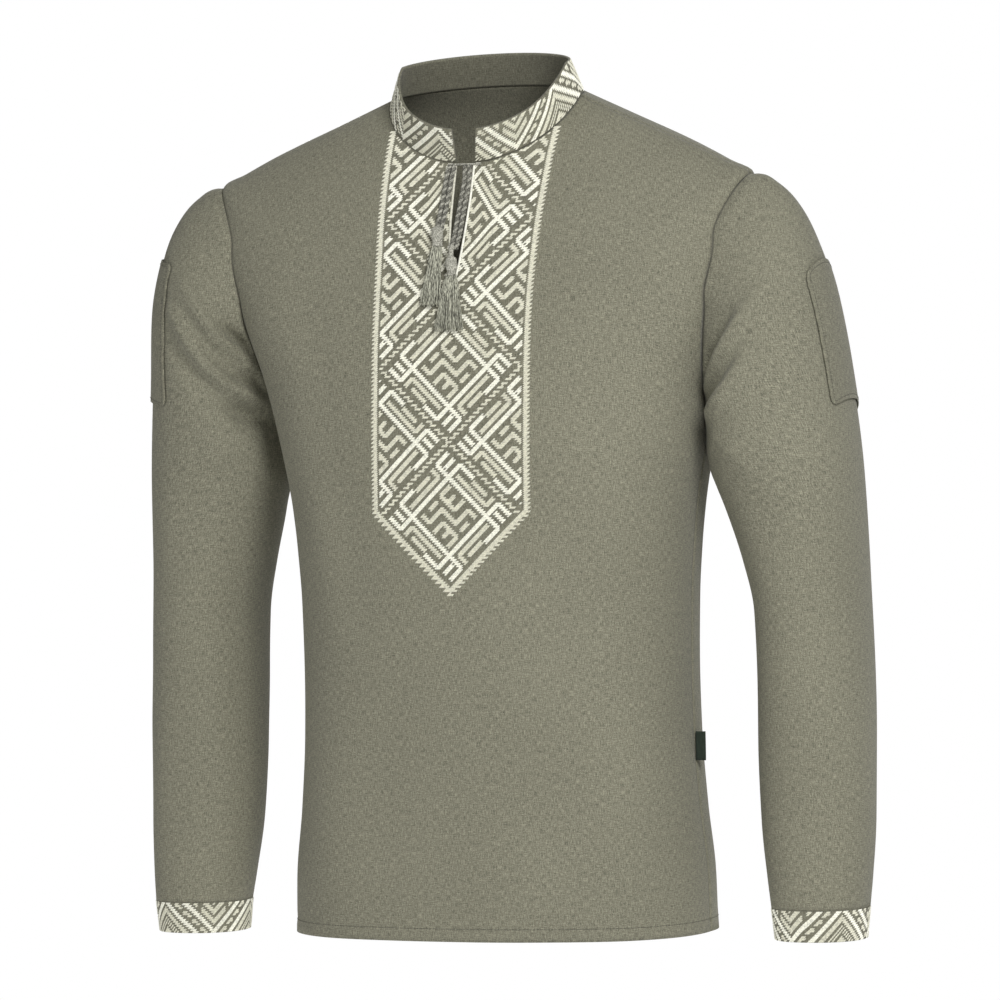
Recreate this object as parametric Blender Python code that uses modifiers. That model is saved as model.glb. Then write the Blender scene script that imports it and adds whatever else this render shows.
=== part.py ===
"""Embroidered pullover shirt with a stand collar, long set-in sleeves and tasselled ties.

The shirt keeps the hollow form that it has when worn. Metres, +Z up, the front faces -Y and the
wearer's left is +X. The origin lies between the two points where the shoulder seams meet the collar.

The body is a family of rings that starts at the neck seam, fans out over the shoulders and runs
down to the hem. A ring has a station: 0 at the neck seam, 1 at the shoulder tips, 2 at the
underarms and 3 at the hem. The sleeves are rings too, from the armhole (0) to the cuff seam (12).
"""

import math

import bmesh
import bpy
import numpy as np

# Cloth and seams
WALL = 0.0012
SEAM_GAP = 0.0003
PANEL_SEAM_GAP = 0.0005
SLEEVE_SEAM_GAP = 0.0010
DENSE = 400

# Body rings. The z of a ring falls from its side to its centre front and centre back.
BODY_COLUMNS = (
    "station", "side_z", "front_z", "back_z", "half_width", "side_y", "front_y", "back_y", "power", "front_fall",
    "back_fall",
)
BODY_ROWS = (
    (0.00, 0.004, -0.054, 0.016, 0.087, 0.012, -0.044, 0.075, 2.00, 1.2, 1.0),
    (0.33, -0.016, -0.084, -0.004, 0.132, 0.008, -0.055, 0.092, 2.10, 1.5, 1.0),
    (0.66, -0.040, -0.117, -0.032, 0.188, 0.004, -0.068, 0.107, 2.18, 1.6, 1.1),
    (0.85, -0.056, -0.134, -0.052, 0.220, 0.003, -0.073, 0.113, 2.15, 1.6, 1.2),
    (1.00, -0.068, -0.148, -0.070, 0.2415, 0.002, -0.077, 0.117, 2.15, 1.55, 1.3),
    (1.15, -0.102, -0.170, -0.104, 0.243, 0.004, -0.083, 0.123, 2.30, 1.5, 1.4),
    (1.40, -0.160, -0.206, -0.160, 0.230, 0.009, -0.090, 0.130, 2.50, 1.5, 1.5),
    (1.70, -0.233, -0.250, -0.233, 0.205, 0.017, -0.095, 0.135, 2.60, 1.5, 1.5),
    (2.00, -0.298, -0.298, -0.298, 0.190, 0.025, -0.099, 0.138, 2.60, 1.5, 1.5),
    (2.10, -0.347, -0.347, -0.347, 0.181, 0.027, -0.101, 0.140, 2.55, 1.5, 1.5),
    (2.20, -0.386, -0.386, -0.386, 0.177, 0.027, -0.102, 0.139, 2.50, 1.5, 1.5),
    (2.30, -0.431, -0.431, -0.431, 0.174, 0.027, -0.101, 0.138, 2.50, 1.5, 1.5),
    (2.45, -0.494, -0.494, -0.494, 0.173, 0.027, -0.100, 0.135, 2.50, 1.5, 1.5),
    (2.60, -0.550, -0.550, -0.550, 0.174, 0.027, -0.099, 0.135, 2.50, 1.5, 1.5),
    (2.75, -0.610, -0.610, -0.610, 0.178, 0.027, -0.099, 0.136, 2.50, 1.5, 1.5),
    (2.90, -0.672, -0.672, -0.672, 0.1845, 0.027, -0.099, 0.136, 2.50, 1.5, 1.5),
    (3.00, -0.719, -0.719, -0.719, 0.1855, 0.027, -0.098, 0.137, 2.50, 1.5, 1.5),
)

# Where a seam cuts the rings, as the sine of the ring's angle from its side. The shoulder seam lies
# a little forward of the ridge beside the neck. The armhole's turn runs from the tip to the underarm.
SHOULDER_SEAM_COLUMNS = ("station", "sine")
SHOULDER_SEAM_ROWS = ((0.0, 0.04), (0.2, 0.06), (0.5, 0.05), (1.0, 0.0))
ARMHOLE_COLUMNS = ("turn", "front_sine", "back_sine")
ARMHOLE_ROWS = (
    (0, 0.000, 0.000),
    (20, 0.270, 0.170),
    (45, 0.450, 0.330),
    (70, 0.450, 0.420),
    (90, 0.370, 0.430),
    (110, 0.235, 0.360),
    (135, 0.085, 0.210),
    (160, 0.020, 0.080),
    (180, 0.000, 0.000),
)

# Sleeve rings of the wearer's left arm, from the armhole to the cuff seam
SLEEVE_COLUMNS = (
    "station", "outer_x", "outer_y", "outer_z", "inner_x", "inner_y", "inner_z", "half_depth", "power",
)
SLEEVE_ROWS = (
    (0, 0.2415, 0.001, -0.068, 0.190, 0.024, -0.298, 0.055, 2.0),
    (1, 0.268, 0.000, -0.079, 0.192, 0.024, -0.310, 0.062, 2.0),
    (2, 0.286, 0.002, -0.100, 0.196, 0.024, -0.321, 0.067, 2.0),
    (3, 0.297, 0.006, -0.125, 0.200, 0.026, -0.332, 0.070, 2.0),
    (4, 0.308, 0.013, -0.167, 0.206, 0.029, -0.347, 0.072, 2.1),
    (5, 0.316, 0.026, -0.232, 0.213, 0.034, -0.369, 0.072, 2.1),
    (6, 0.323, 0.036, -0.320, 0.223, 0.038, -0.402, 0.069, 2.2),
    (7, 0.326, 0.041, -0.410, 0.231, 0.041, -0.445, 0.065, 2.2),
    (8, 0.329, 0.041, -0.480, 0.232, 0.041, -0.495, 0.061, 2.2),
    (9, 0.331, 0.038, -0.550, 0.232, 0.038, -0.555, 0.056, 2.2),
    (10, 0.331, 0.034, -0.620, 0.2345, 0.034, -0.622, 0.051, 2.2),
    (11, 0.329, 0.029, -0.668, 0.240, 0.029, -0.668, 0.048, 2.2),
    (12, 0.327, 0.026, -0.696, 0.244, 0.026, -0.696, 0.045, 2.2),
)
ARMHOLE_FADE = 3.0

# Stand collar, cuffs, hem
COLLAR_RISE = (0.004, -0.0148, 0.0275)
COLLAR_WALL = 0.0020
COLLAR_LEAN_COLUMNS = ("turn", "lean_in")
COLLAR_LEAN_ROWS = ((0, 0.04), (50, 0.05), (75, 0.11), (95, 0.13), (140, 0.14), (180, 0.12))
COLLAR_GAP_BASE = 0.0085
COLLAR_GAP_TOP = 0.0110
CUFF_HEIGHT = 0.027
CUFF_TAPER = 0.0028
CUFF_WALL = 0.0018

# Front slit
SLIT_LENGTH = 0.112
SLIT_HALF_WIDTH = 0.0080
SLIT_POWER = 3.0
SLIT_SPREAD = 0.030

# Largest folds of the sleeves: soft ridges and troughs through three places on the sleeve, each a
# station and a turn round the arm. They gather where the arm meets the body.
FOLD_COLUMNS = (
    "start_station", "start_turn", "middle_station", "middle_turn", "end_station", "end_turn", "half_width", "height",
)
FOLDS = {
    "sleeve_left": (
        (2.6, 66, 1.7, 88, 0.4, 108, 0.016, 0.0040),
        (2.9, 82, 1.9, 103, 0.5, 124, 0.014, -0.0045),
        (3.6, 84, 2.8, 108, 1.3, 132, 0.016, 0.0045),
        (3.0, 262, 2.0, 244, 0.6, 230, 0.018, -0.0050),
        (3.9, 268, 2.9, 244, 1.2, 222, 0.018, 0.0045),
    ),
    "sleeve_right": (
        (2.1, 60, 1.4, 82, 0.3, 103, 0.013, 0.0045),
        (1.8, 80, 1.2, 96, 0.3, 110, 0.012, -0.0060),
        (3.0, 64, 2.3, 94, 0.8, 120, 0.013, 0.0050),
        (3.2, 90, 2.5, 112, 1.2, 134, 0.014, -0.0060),
        (2.8, 258, 1.9, 242, 0.5, 228, 0.018, -0.0050),
        (4.0, 266, 3.0, 246, 1.3, 224, 0.018, 0.0045),
    ),
}

FOLD_SEAM_FADE = 0.030

# Patch panel on each upper arm, as a face that hangs down: heights at the arm's outer line, how far its
# ends bow down from there, and the turns round the arm of its front and back edges, going down
PATCH_COLUMNS = ("top_z", "bottom_z", "top_bow", "bottom_bow", "front_turns", "back_turns")
PATCHES = {
    "left": (-0.1427, -0.2616, 0.096, 0.056, (30, 30, 30), (-60, -60, -60)),
    "right": (-0.1300, -0.2530, 0.020, 0.012, (42, 59, 67), (-46, -29, -21)),
}
PATCH_WALL = 0.0010
PATCH_CLEAR = 0.0010
PATCH_CORNER = 0.009
PATCH_DENSE = 60

# Folded label in the wearer's left side seam
LABEL_WIDTH = 0.009
LABEL_HEIGHT = 0.025
LABEL_THICK = 0.0012
LABEL_Z = -0.559
LABEL_CLEAR = 0.0008

# Ties: points are (x, height), each that far in front of the cloth
TIE_RADIUS = 0.0019
TIE_CLEAR = 0.0007
TIES = {
    "tie_left_outer": ((-0.0128, -0.0566), (-0.0148, -0.066), (-0.0156, -0.080), (-0.0166, -0.094), (-0.0179, -0.1080)),
    "tie_left_inner": ((-0.0086, -0.0566), (-0.0102, -0.068), (-0.0112, -0.082), (-0.0122, -0.095), (-0.0137, -0.1080)),
    "tie_right_outer": (
        (0.0052, -0.0566), (0.0062, -0.068), (0.0056, -0.080), (0.0044, -0.096), (0.0036, -0.112), (0.0016, -0.1240),
    ),
    "tie_right_inner": (
        (0.0009, -0.0566), (0.0018, -0.068), (0.0012, -0.080), (0.0000, -0.096), (-0.0010, -0.112), (-0.0028, -0.1240),
    ),
}
TIE_STEP = 0.007
TIE_BAR_RADIUS = 0.0010
TIE_BAR_HALF_LENGTH = 0.0148
TIE_BAR_Z = -0.0552

# Tassels: a bound head turned from a profile, and strands that fan out under it
TASSEL_COLUMNS = ("top_x", "top_z", "end_x", "end_z", "end_half_width")
TASSELS = {
    "tassel_left": (-0.0158, -0.1085, -0.0186, -0.1745, 0.0088),
    "tassel_right": (-0.0008, -0.1245, -0.0004, -0.1965, 0.0130),
}
HEAD_PROFILE_COLUMNS = ("radius", "down")
HEAD_PROFILE = {
    "tassel_left": ((0.0042, 0.0), (0.0052, 0.003), (0.0052, 0.009), (0.0044, 0.0135), (0.0050, 0.0165)),
    "tassel_right": (
        (0.0040, 0.0), (0.0024, 0.004), (0.0020, 0.009), (0.0048, 0.012), (0.0050, 0.019), (0.0036, 0.0230),
        (0.0046, 0.0260),
    ),
}
HEAD_FLATNESS = 0.62
HEAD_SIDES = 10
HEAD_CLEAR = 0.0005
STRANDS_ACROSS = 8
STRANDS_DEEP = 3
STRAND_RADIUS = 0.00046
STRAND_ROOT_HALF_WIDTH = 0.0042
STRAND_ROOT_PITCH = 0.0013
STRAND_ROOT_LENGTH = 0.0020
STRAND_END_PITCH = 0.0019
STRAND_UNEVEN = 0.0018

# Mesh density
BODY_ROWS_OF_MESH = (9, 10, 9)
FRONT_COLUMNS = 24
BACK_COLUMNS = 20
SLEEVE_SIDES = 32

COLOURS = {
    "cloth": ((0.205, 0.205, 0.155), 0.92),
    "band": ((0.330, 0.330, 0.255), 0.88),
    "patch": ((0.195, 0.195, 0.148), 0.92),
    "label": ((0.030, 0.040, 0.028), 0.80),
    "tie": ((0.240, 0.240, 0.205), 0.90),
    "tassel": ((0.250, 0.250, 0.215), 0.90),
}


def table(columns, rows):
    """Named columns of a table as arrays."""
    values = np.array(rows, float)
    return {name: values[:, i] for i, name in enumerate(columns)}


BODY = table(BODY_COLUMNS, BODY_ROWS)
SLEEVE = table(SLEEVE_COLUMNS, SLEEVE_ROWS)
ARMHOLE = table(ARMHOLE_COLUMNS, ARMHOLE_ROWS)
COLLAR_LEAN = table(COLLAR_LEAN_COLUMNS, COLLAR_LEAN_ROWS)
SHOULDER_SEAM = table(SHOULDER_SEAM_COLUMNS, SHOULDER_SEAM_ROWS)


def smooth(knots, values, at):
    """Monotone cubic through the knots, so that a table's curve never overshoots its rows."""
    step = np.diff(knots)
    rise = np.diff(values) / step
    slope = np.zeros(len(knots))
    same_way = rise[:-1] * rise[1:] > 0
    first, second = 2 * step[1:] + step[:-1], step[1:] + 2 * step[:-1]
    with np.errstate(divide="ignore", invalid="ignore"):
        mean = (first + second) / (first / rise[:-1] + second / rise[1:])
    slope[1:-1] = np.where(same_way, mean, 0.0)
    slope[0], slope[-1] = rise[0], rise[-1]
    at = np.clip(np.asarray(at, float), knots[0], knots[-1])
    i = np.clip(np.searchsorted(knots, at, side="right") - 1, 0, len(step) - 1)
    t = (at - knots[i]) / step[i]
    return (
        values[i] * (1 + 2 * t) * (1 - t) ** 2
        + values[i + 1] * t * t * (3 - 2 * t)
        + step[i] * t * (1 - t) * (slope[i] * (1 - t) - slope[i + 1] * t)
    )


def power_of(value, exponent):
    """A signed power, which rounds or squares an ellipse."""
    return np.sign(value) * np.abs(value) ** exponent


def body_point(station, sine, face):
    """A point of the body's outer face on the +X half. face is "front" or "back"."""
    r = {name: smooth(BODY["station"], BODY[name], station) for name in BODY_COLUMNS[1:]}
    sine = np.clip(sine, 0.0, 1.0)
    x = r["half_width"] * (1 - sine * sine) ** (1 / r["power"])
    y = r["side_y"] + (r[face + "_y"] - r["side_y"]) * sine ** (2 / r["power"])
    z = r["side_z"] + (r[face + "_z"] - r["side_z"]) * sine ** r[face + "_fall"]
    return np.stack(np.broadcast_arrays(x, y, z), axis=-1)


def edge_sine(station, face):
    """Where a panel's outer edge cuts the rings: shoulder seam, armhole, then side seam."""
    station = np.asarray(station, float)
    shoulder = smooth(SHOULDER_SEAM["station"], SHOULDER_SEAM["sine"], station)
    turn = np.degrees(np.arccos(np.clip(3 - 2 * station, -1, 1)))
    arm = smooth(ARMHOLE["turn"], ARMHOLE[face + "_sine"], turn)
    seam = shoulder if face == "front" else -shoulder
    return np.where(station < 1, seam, np.where(station < 2, arm, 0.0))


def row_points(station, face):
    """A dense run of points along one ring, from the panel's edge to its centre line."""
    edge = float(edge_sine(station, face))
    angle = np.linspace(math.asin(max(edge, 0.0)), math.pi / 2, DENSE)
    run = body_point(station, np.sin(angle), face)
    if edge < 0:
        over = body_point(station, np.sin(np.linspace(math.asin(-edge), 0, DENSE // 8)[:-1]), "front")
        run = np.concatenate([over, run])
    return run


def along(run):
    """Distance along a run of points."""
    return np.concatenate([[0.0], np.cumsum(np.linalg.norm(np.diff(run, axis=0), axis=1))])


def spaced(run, shares, start_gap=0.0, end_gap=0.0):
    """Points at these shares of a run's length, with a gap left at its ends."""
    length = along(run)
    at = start_gap + np.asarray(shares) * (length[-1] - start_gap - end_gap)
    return np.stack([np.interp(at, length, run[:, k]) for k in range(3)], axis=1)


def panel_grid(face, stations, columns, gap):
    """Rows of points across a whole panel, from the wearer's right edge to the left."""
    shares = np.linspace(0, 1, columns // 2 + 1)
    rows = []
    for station in stations:
        half = spaced(row_points(station, face), shares, start_gap=gap)
        mirrored = half * (-1, 1, 1)
        rows.append(np.concatenate([mirrored, half[-2::-1]]))
    return np.array(rows)


def armhole_curve(turn):
    """The armhole seam: turn 0 at the shoulder tip, 90 at the front, 180 at the underarm, 270 at the back."""
    turn = np.asarray(turn, float) % 360
    station = 1 + (1 - np.cos(np.radians(turn))) / 2
    down = np.where(turn <= 180, turn, 360 - turn)
    front = body_point(station, smooth(ARMHOLE["turn"], ARMHOLE["front_sine"], down), "front")
    back = body_point(station, smooth(ARMHOLE["turn"], ARMHOLE["back_sine"], down), "back")
    return np.where((turn <= 180)[:, None], front, back)


def sleeve_ellipse(station, turn):
    r = {name: smooth(SLEEVE["station"], SLEEVE[name], station) for name in SLEEVE_COLUMNS[1:]}
    outer = np.stack([r["outer_x"], r["outer_y"], r["outer_z"]], axis=-1)
    inner = np.stack([r["inner_x"], r["inner_y"], r["inner_z"]], axis=-1)
    cosine = power_of(np.cos(np.radians(turn)), 2 / r["power"])[..., None]
    sine = power_of(np.sin(np.radians(turn)), 2 / r["power"])[..., None]
    forward = np.stack([0 * r["outer_x"], -r["half_depth"], 0 * r["outer_x"]], axis=-1)
    return (outer + inner) / 2 + (outer - inner) / 2 * cosine + forward * sine


def sleeve_point(station, turn):
    """A point of the left sleeve's outer face. The first rings pass from the armhole's own curve to ellipses."""
    station, turn = np.broadcast_arrays(np.asarray(station, float), np.asarray(turn, float))
    station, turn = station.ravel(), turn.ravel()
    off = armhole_curve(turn) - sleeve_ellipse(np.zeros(len(turn)), turn)
    t = np.clip(station / ARMHOLE_FADE, 0, 1)
    return sleeve_ellipse(station, turn) + off * (1 - t * t * (3 - 2 * t))[:, None]


def sleeve_line(turn, start=0.0, end=12.0):
    """A dense run of points down the sleeve at one turn round the arm."""
    return sleeve_point(np.linspace(start, end, DENSE), turn)


def outward(grid, closed_round=False):
    """Unit normals of a grid whose rows run down and whose columns run clockwise seen from above."""
    down = np.gradient(grid, axis=0)
    if closed_round:
        across = np.roll(grid, -1, axis=1) - np.roll(grid, 1, axis=1)
    else:
        across = np.gradient(grid, axis=1)
    normal = np.cross(across, down)
    return normal / np.linalg.norm(normal, axis=2)[..., None]


def fold_lift(grid, folds):
    """How far each point is lifted by soft ridges and troughs, which die out at their ends."""
    lift = np.zeros(grid.shape[:2])
    for row in folds:
        f = dict(zip(FOLD_COLUMNS, row))
        t = np.linspace(0, 1, 25)
        knots = np.array([0.0, 0.5, 1.0])
        stations = np.interp(t, knots, [f["start_station"], f["middle_station"], f["end_station"]])
        turns = np.interp(t, knots, [f["start_turn"], f["middle_turn"], f["end_turn"]])
        crest = sleeve_point(stations, turns)
        away = np.linalg.norm(grid[..., None, :] - crest, axis=-1)
        nearest = away.argmin(axis=-1)
        across = away.min(axis=-1) / f["half_width"]
        lift += f["height"] * np.exp(-across * across) * np.sin(np.pi * (0.12 + 0.76 * t[nearest]))
    return lift


def seam_fade(grid, reach):
    """0 on the first row of a grid, rising to 1 this far down its columns."""
    steps = np.linalg.norm(np.diff(grid, axis=0), axis=2)
    down = np.concatenate([np.zeros((1, grid.shape[1])), np.cumsum(steps, axis=0)])
    t = np.clip(down / reach, 0, 1)
    return t * t * (3 - 2 * t)


def sleeve_grid(shares, sides, folds):
    """Rings of points down the left sleeve."""
    lines = [
        spaced(sleeve_line(360 * i / sides), shares, start_gap=SLEEVE_SEAM_GAP)
        for i in range(sides)
    ]
    grid = np.array(lines).transpose(1, 0, 2)
    lift = fold_lift(grid, folds) * seam_fade(grid, FOLD_SEAM_FADE)
    return grid + outward(grid, closed_round=True) * lift[..., None]


def front_depth(x, z):
    """The y of the front's outer face at this x and height, near the centre."""
    stations = np.linspace(0, 3, 600)
    power = smooth(BODY["station"], BODY["power"], stations)
    half_width = smooth(BODY["station"], BODY["half_width"], stations)
    cosine = np.clip(abs(x) / half_width, 0, 1) ** (power / 2)
    run = body_point(stations, np.sqrt(1 - cosine * cosine), "front")
    return float(np.interp(-z, -run[:, 2], run[:, 1]))


def material(name, slot):
    """A plain finish with the cloth's colour."""
    colour, roughness = COLOURS[slot]
    made = bpy.data.materials.new(name)
    made.use_nodes = True
    shader = made.node_tree.nodes["Principled BSDF"]
    shader.inputs["Base Color"].default_value = (*colour, 1.0)
    shader.inputs["Roughness"].default_value = roughness
    shader.inputs["Metallic"].default_value = 0.0
    made.diffuse_color = (*colour, 1.0)
    return made


def clear_scene():
    for obj in list(bpy.data.objects):
        bpy.data.objects.remove(obj, do_unlink=True)


def collection(name):
    made = bpy.data.collections.new(name)
    bpy.context.scene.collection.children.link(made)
    return made


def add_object(name, data, slot, parts):
    made = bpy.data.objects.new(name, data)
    data.materials.append(material(name, slot))
    parts.objects.link(made)
    return made


def grid_mesh(name, grid, closed_round=False, slit_rows=0):
    """A mesh of quads over a grid of points. The centre column is doubled over the first slit_rows rows."""
    rows, columns = grid.shape[:2]
    mesh = bmesh.new()
    verts = [[mesh.verts.new(point) for point in row] for row in grid]
    middle = columns // 2
    right_of_slit = {}
    for i in range(slit_rows):
        lips = grid[i, middle].copy()
        lips[0] = -lips[0]
        right_of_slit[i] = mesh.verts.new(lips)
    across = columns if closed_round else columns - 1
    for i in range(rows - 1):
        for j in range(across):
            corners = [(i, j), (i + 1, j), (i + 1, (j + 1) % columns), (i, (j + 1) % columns)]
            on_right = j >= middle
            face = [
                right_of_slit[a] if on_right and b == middle and a in right_of_slit else verts[a][b]
                for a, b in corners
            ]
            mesh.faces.new(face)
    data = bpy.data.meshes.new(name)
    mesh.to_mesh(data)
    mesh.free()
    data.shade_smooth()
    return data


def shell(name, data, slot, parts, wall):
    """An open surface given a wall on its inner side."""
    made = add_object(name, data, slot, parts)
    solid = made.modifiers.new("Wall", "SOLIDIFY")
    solid.thickness = wall
    solid.offset = -1
    solid.use_even_offset = True
    return made


def mirrored(grid):
    """The same rings on the other side, still wound the same way round."""
    return (grid * (-1, 1, 1))[:, ::-1]


def body_stations(near_neck, armhole, below):
    """Stations of the body's rows: over the shoulder, beside the armhole, and down to the hem."""
    return np.concatenate([
        np.linspace(0, 1, near_neck + 1)[:-1],
        1 + (1 - np.cos(np.linspace(0, math.pi, armhole + 1)[:-1])) / 2,
        np.linspace(2, 3, below + 1),
    ])


def slit_opening(grid, gap):
    """Spreads the front's centre columns apart over the slit, and returns the rows it reaches."""
    middle = grid.shape[1] // 2
    depth = along(grid[:, middle])
    open_rows = int(np.searchsorted(depth, SLIT_LENGTH))
    for i in range(open_rows):
        half = SLIT_HALF_WIDTH * (1 - (depth[i] / SLIT_LENGTH) ** SLIT_POWER) + gap
        x = grid[i, :, 0]
        near = np.clip(1 - np.abs(x) / SLIT_SPREAD, 0, 1)
        side = np.where(np.arange(len(x)) <= middle, -1, 1)
        grid[i, :, 0] = x + side * half * near
    return open_rows


def make_front(parts):
    grid = panel_grid("front", body_stations(*BODY_ROWS_OF_MESH), FRONT_COLUMNS, PANEL_SEAM_GAP)
    slit_rows = slit_opening(grid, SEAM_GAP)
    shell("front", grid_mesh("front", grid, slit_rows=slit_rows), "cloth", parts, WALL)


def make_back(parts):
    grid = panel_grid("back", body_stations(*BODY_ROWS_OF_MESH), BACK_COLUMNS, PANEL_SEAM_GAP)
    shell("back", grid_mesh("back", grid[:, ::-1]), "cloth", parts, WALL)


def make_sleeves(parts):
    shares = np.concatenate([np.linspace(0, 0.36, 13), np.linspace(0.36, 1, 11)[1:]])
    left = sleeve_grid(shares, SLEEVE_SIDES, FOLDS["sleeve_left"])
    right = mirrored(sleeve_grid(shares, SLEEVE_SIDES, FOLDS["sleeve_right"]))
    for name, grid in (("sleeve_left", left), ("sleeve_right", right)):
        shell(name, grid_mesh(name, grid[:, ::-1], closed_round=True), "cloth", parts, WALL)


def collar_base():
    """The neck seam all round, from the right end of the front gap to the left end."""
    sine = np.sin(np.linspace(0, math.pi / 2, DENSE))
    front = body_point(0.0, sine, "front")
    back = body_point(0.0, sine, "back")
    left_side = np.concatenate([front[::-1], back[1:]])
    return np.concatenate([left_side, (left_side * (-1, 1, 1))[::-1][1:]])


def collar_grid(heights, shares):
    """Rings of the collar. It leans in as it rises, more at its sides and back than in front."""
    base = collar_base()
    centre_y = base[:, 1].mean()
    turn = np.degrees(np.arctan2(np.abs(base[:, 0]), centre_y - base[:, 1]))
    lean = smooth(COLLAR_LEAN["turn"], COLLAR_LEAN["lean_in"], turn)
    rise = np.array(COLLAR_RISE)
    rows = []
    for height in heights:
        ring = base + rise * height + rise / np.linalg.norm(rise) * SEAM_GAP
        ring[:, 0] -= base[:, 0] * lean * height
        gap = COLLAR_GAP_BASE + (COLLAR_GAP_TOP - COLLAR_GAP_BASE) * height
        rows.append(spaced(ring, shares, start_gap=gap, end_gap=gap))
    return np.array(rows)


def make_collar(parts):
    grid = collar_grid(np.linspace(0, 1, 4), np.linspace(0, 1, 41))
    shell("collar", grid_mesh("collar", grid[:, ::-1]), "band", parts, COLLAR_WALL)


def cuff_grid():
    turns = 360 * np.arange(SLEEVE_SIDES) / SLEEVE_SIDES
    end = sleeve_point(12.0, turns)
    centre = end.mean(axis=0)
    rows = []
    for share in np.linspace(0, 1, 3):
        out = end - centre
        size = np.linalg.norm(out, axis=1)[:, None]
        ring = centre + out * (1 - CUFF_TAPER * share / size)
        rows.append(ring - (0, 0, SEAM_GAP + CUFF_HEIGHT * share))
    return np.array(rows)


def make_cuffs(parts):
    grid = cuff_grid()
    shell("cuff_left", grid_mesh("cuff_left", grid[:, ::-1], closed_round=True), "band", parts, CUFF_WALL)
    shell("cuff_right", grid_mesh("cuff_right", mirrored(grid)[:, ::-1], closed_round=True), "band", parts, CUFF_WALL)


def patch_line(patch, share):
    """A dense run of points across a patch, from its back edge, this share of the way down it."""
    thirds = np.array([0.0, 0.5, 1.0])
    edges = [float(smooth(thirds, np.array(patch[key], float), share)) for key in ("back_turns", "front_turns")]
    turns = np.linspace(*edges, PATCH_DENSE)
    bow = patch["top_bow"] + (patch["bottom_bow"] - patch["top_bow"]) * share
    level = patch["top_z"] + (patch["bottom_z"] - patch["top_z"]) * share
    wanted = level - bow * (1 - np.cos(np.radians(turns)))
    stations = np.linspace(1.0, 7.0, PATCH_DENSE)
    heights = sleeve_point(stations[:, None], turns[None, :])[:, 2].reshape(PATCH_DENSE, PATCH_DENSE)
    at = [np.interp(-z, -column, stations) for z, column in zip(wanted, heights.T)]
    return sleeve_point(np.array(at), turns)


def patch_grid(side, rows, columns):
    """Points of an arm patch with round corners, on the left sleeve and moved out."""
    patch = dict(zip(PATCH_COLUMNS, PATCHES[side]))
    down_middle = np.array([patch_line(patch, share)[PATCH_DENSE // 2] for share in np.linspace(0, 1, 25)])
    length = along(down_middle)[-1]
    corner = PATCH_CORNER * np.array([0.0, 0.12, 0.45, 1.0])
    middle = np.linspace(PATCH_CORNER, length - PATCH_CORNER, rows)[1:-1]
    downs = np.concatenate([corner, middle, length - corner[::-1]])
    lines = []
    for down in downs:
        line = patch_line(patch, down / length)
        near_end = max(0.0, PATCH_CORNER - min(down, length - down))
        inset = PATCH_CORNER - math.sqrt(PATCH_CORNER ** 2 - near_end ** 2)
        lines.append(spaced(line, np.linspace(0, 1, columns), start_gap=inset, end_gap=inset))
    grid = np.array(lines)
    lift = fold_lift(grid, FOLDS["sleeve_" + side])
    return grid + outward(grid) * (lift + PATCH_CLEAR + PATCH_WALL)[..., None]


def make_patches(parts):
    left = patch_grid("left", 10, 12)
    right = mirrored(patch_grid("right", 10, 12))
    for name, grid in (("arm_patch_left", left), ("arm_patch_right", right)):
        shell(name, grid_mesh(name, grid[:, ::-1]), "patch", parts, PATCH_WALL)


def make_label(parts):
    """A thin folded tab that stands out of the side seam."""
    station = float(np.interp(-LABEL_Z, -BODY["side_z"], BODY["station"]))
    seam = body_point(station, 0.0, "front")
    bpy.ops.mesh.primitive_cube_add(size=1)
    cube = bpy.context.object
    data = cube.data
    bpy.data.objects.remove(cube, do_unlink=True)
    made = add_object("side_label", data, "label", parts)
    made.scale = (LABEL_WIDTH, LABEL_THICK, LABEL_HEIGHT)
    made.location = (seam[0] + LABEL_CLEAR + LABEL_WIDTH / 2, seam[1], LABEL_Z)


def tie_route(points):
    """A smooth route through (x, height) points, lying on the front."""
    points = np.array(points)
    length = np.concatenate([[0], np.cumsum(np.linalg.norm(np.diff(points, axis=0), axis=1))])
    at = np.linspace(0, length[-1], max(3, round(length[-1] / TIE_STEP) + 1))
    x = smooth(length, points[:, 0], at)
    z = smooth(length, points[:, 1], at)
    out = TIE_RADIUS + TIE_CLEAR
    return [(a, front_depth(a, b) - out, b) for a, b in zip(x, z)]


def cord_curve(name, routes, radius, sides_step):
    """A curve object's data: one round cord along each route."""
    data = bpy.data.curves.new(name, "CURVE")
    data.dimensions = "3D"
    data.bevel_depth = radius
    data.bevel_resolution = sides_step
    data.use_fill_caps = True
    for route in routes:
        spline = data.splines.new("POLY")
        spline.points.add(len(route) - 1)
        for point, place in zip(spline.points, route):
            point.co = (*place, 1.0)
    return data


def make_ties(parts):
    for name, points in TIES.items():
        add_object(name, cord_curve(name, [tie_route(points)], TIE_RADIUS, 2), "tie", parts)
    bar_y = front_depth(TIE_BAR_HALF_LENGTH, TIE_BAR_Z)
    x = np.linspace(-TIE_BAR_HALF_LENGTH, TIE_BAR_HALF_LENGTH, 5)
    y = [min(front_depth(a, TIE_BAR_Z), bar_y) - TIE_BAR_RADIUS - TIE_CLEAR for a in x]
    route = [(a, b, TIE_BAR_Z) for a, b in zip(x, y)]
    add_object("tie_bar", cord_curve("tie_bar", [route], TIE_BAR_RADIUS, 2), "tie", parts)


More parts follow.
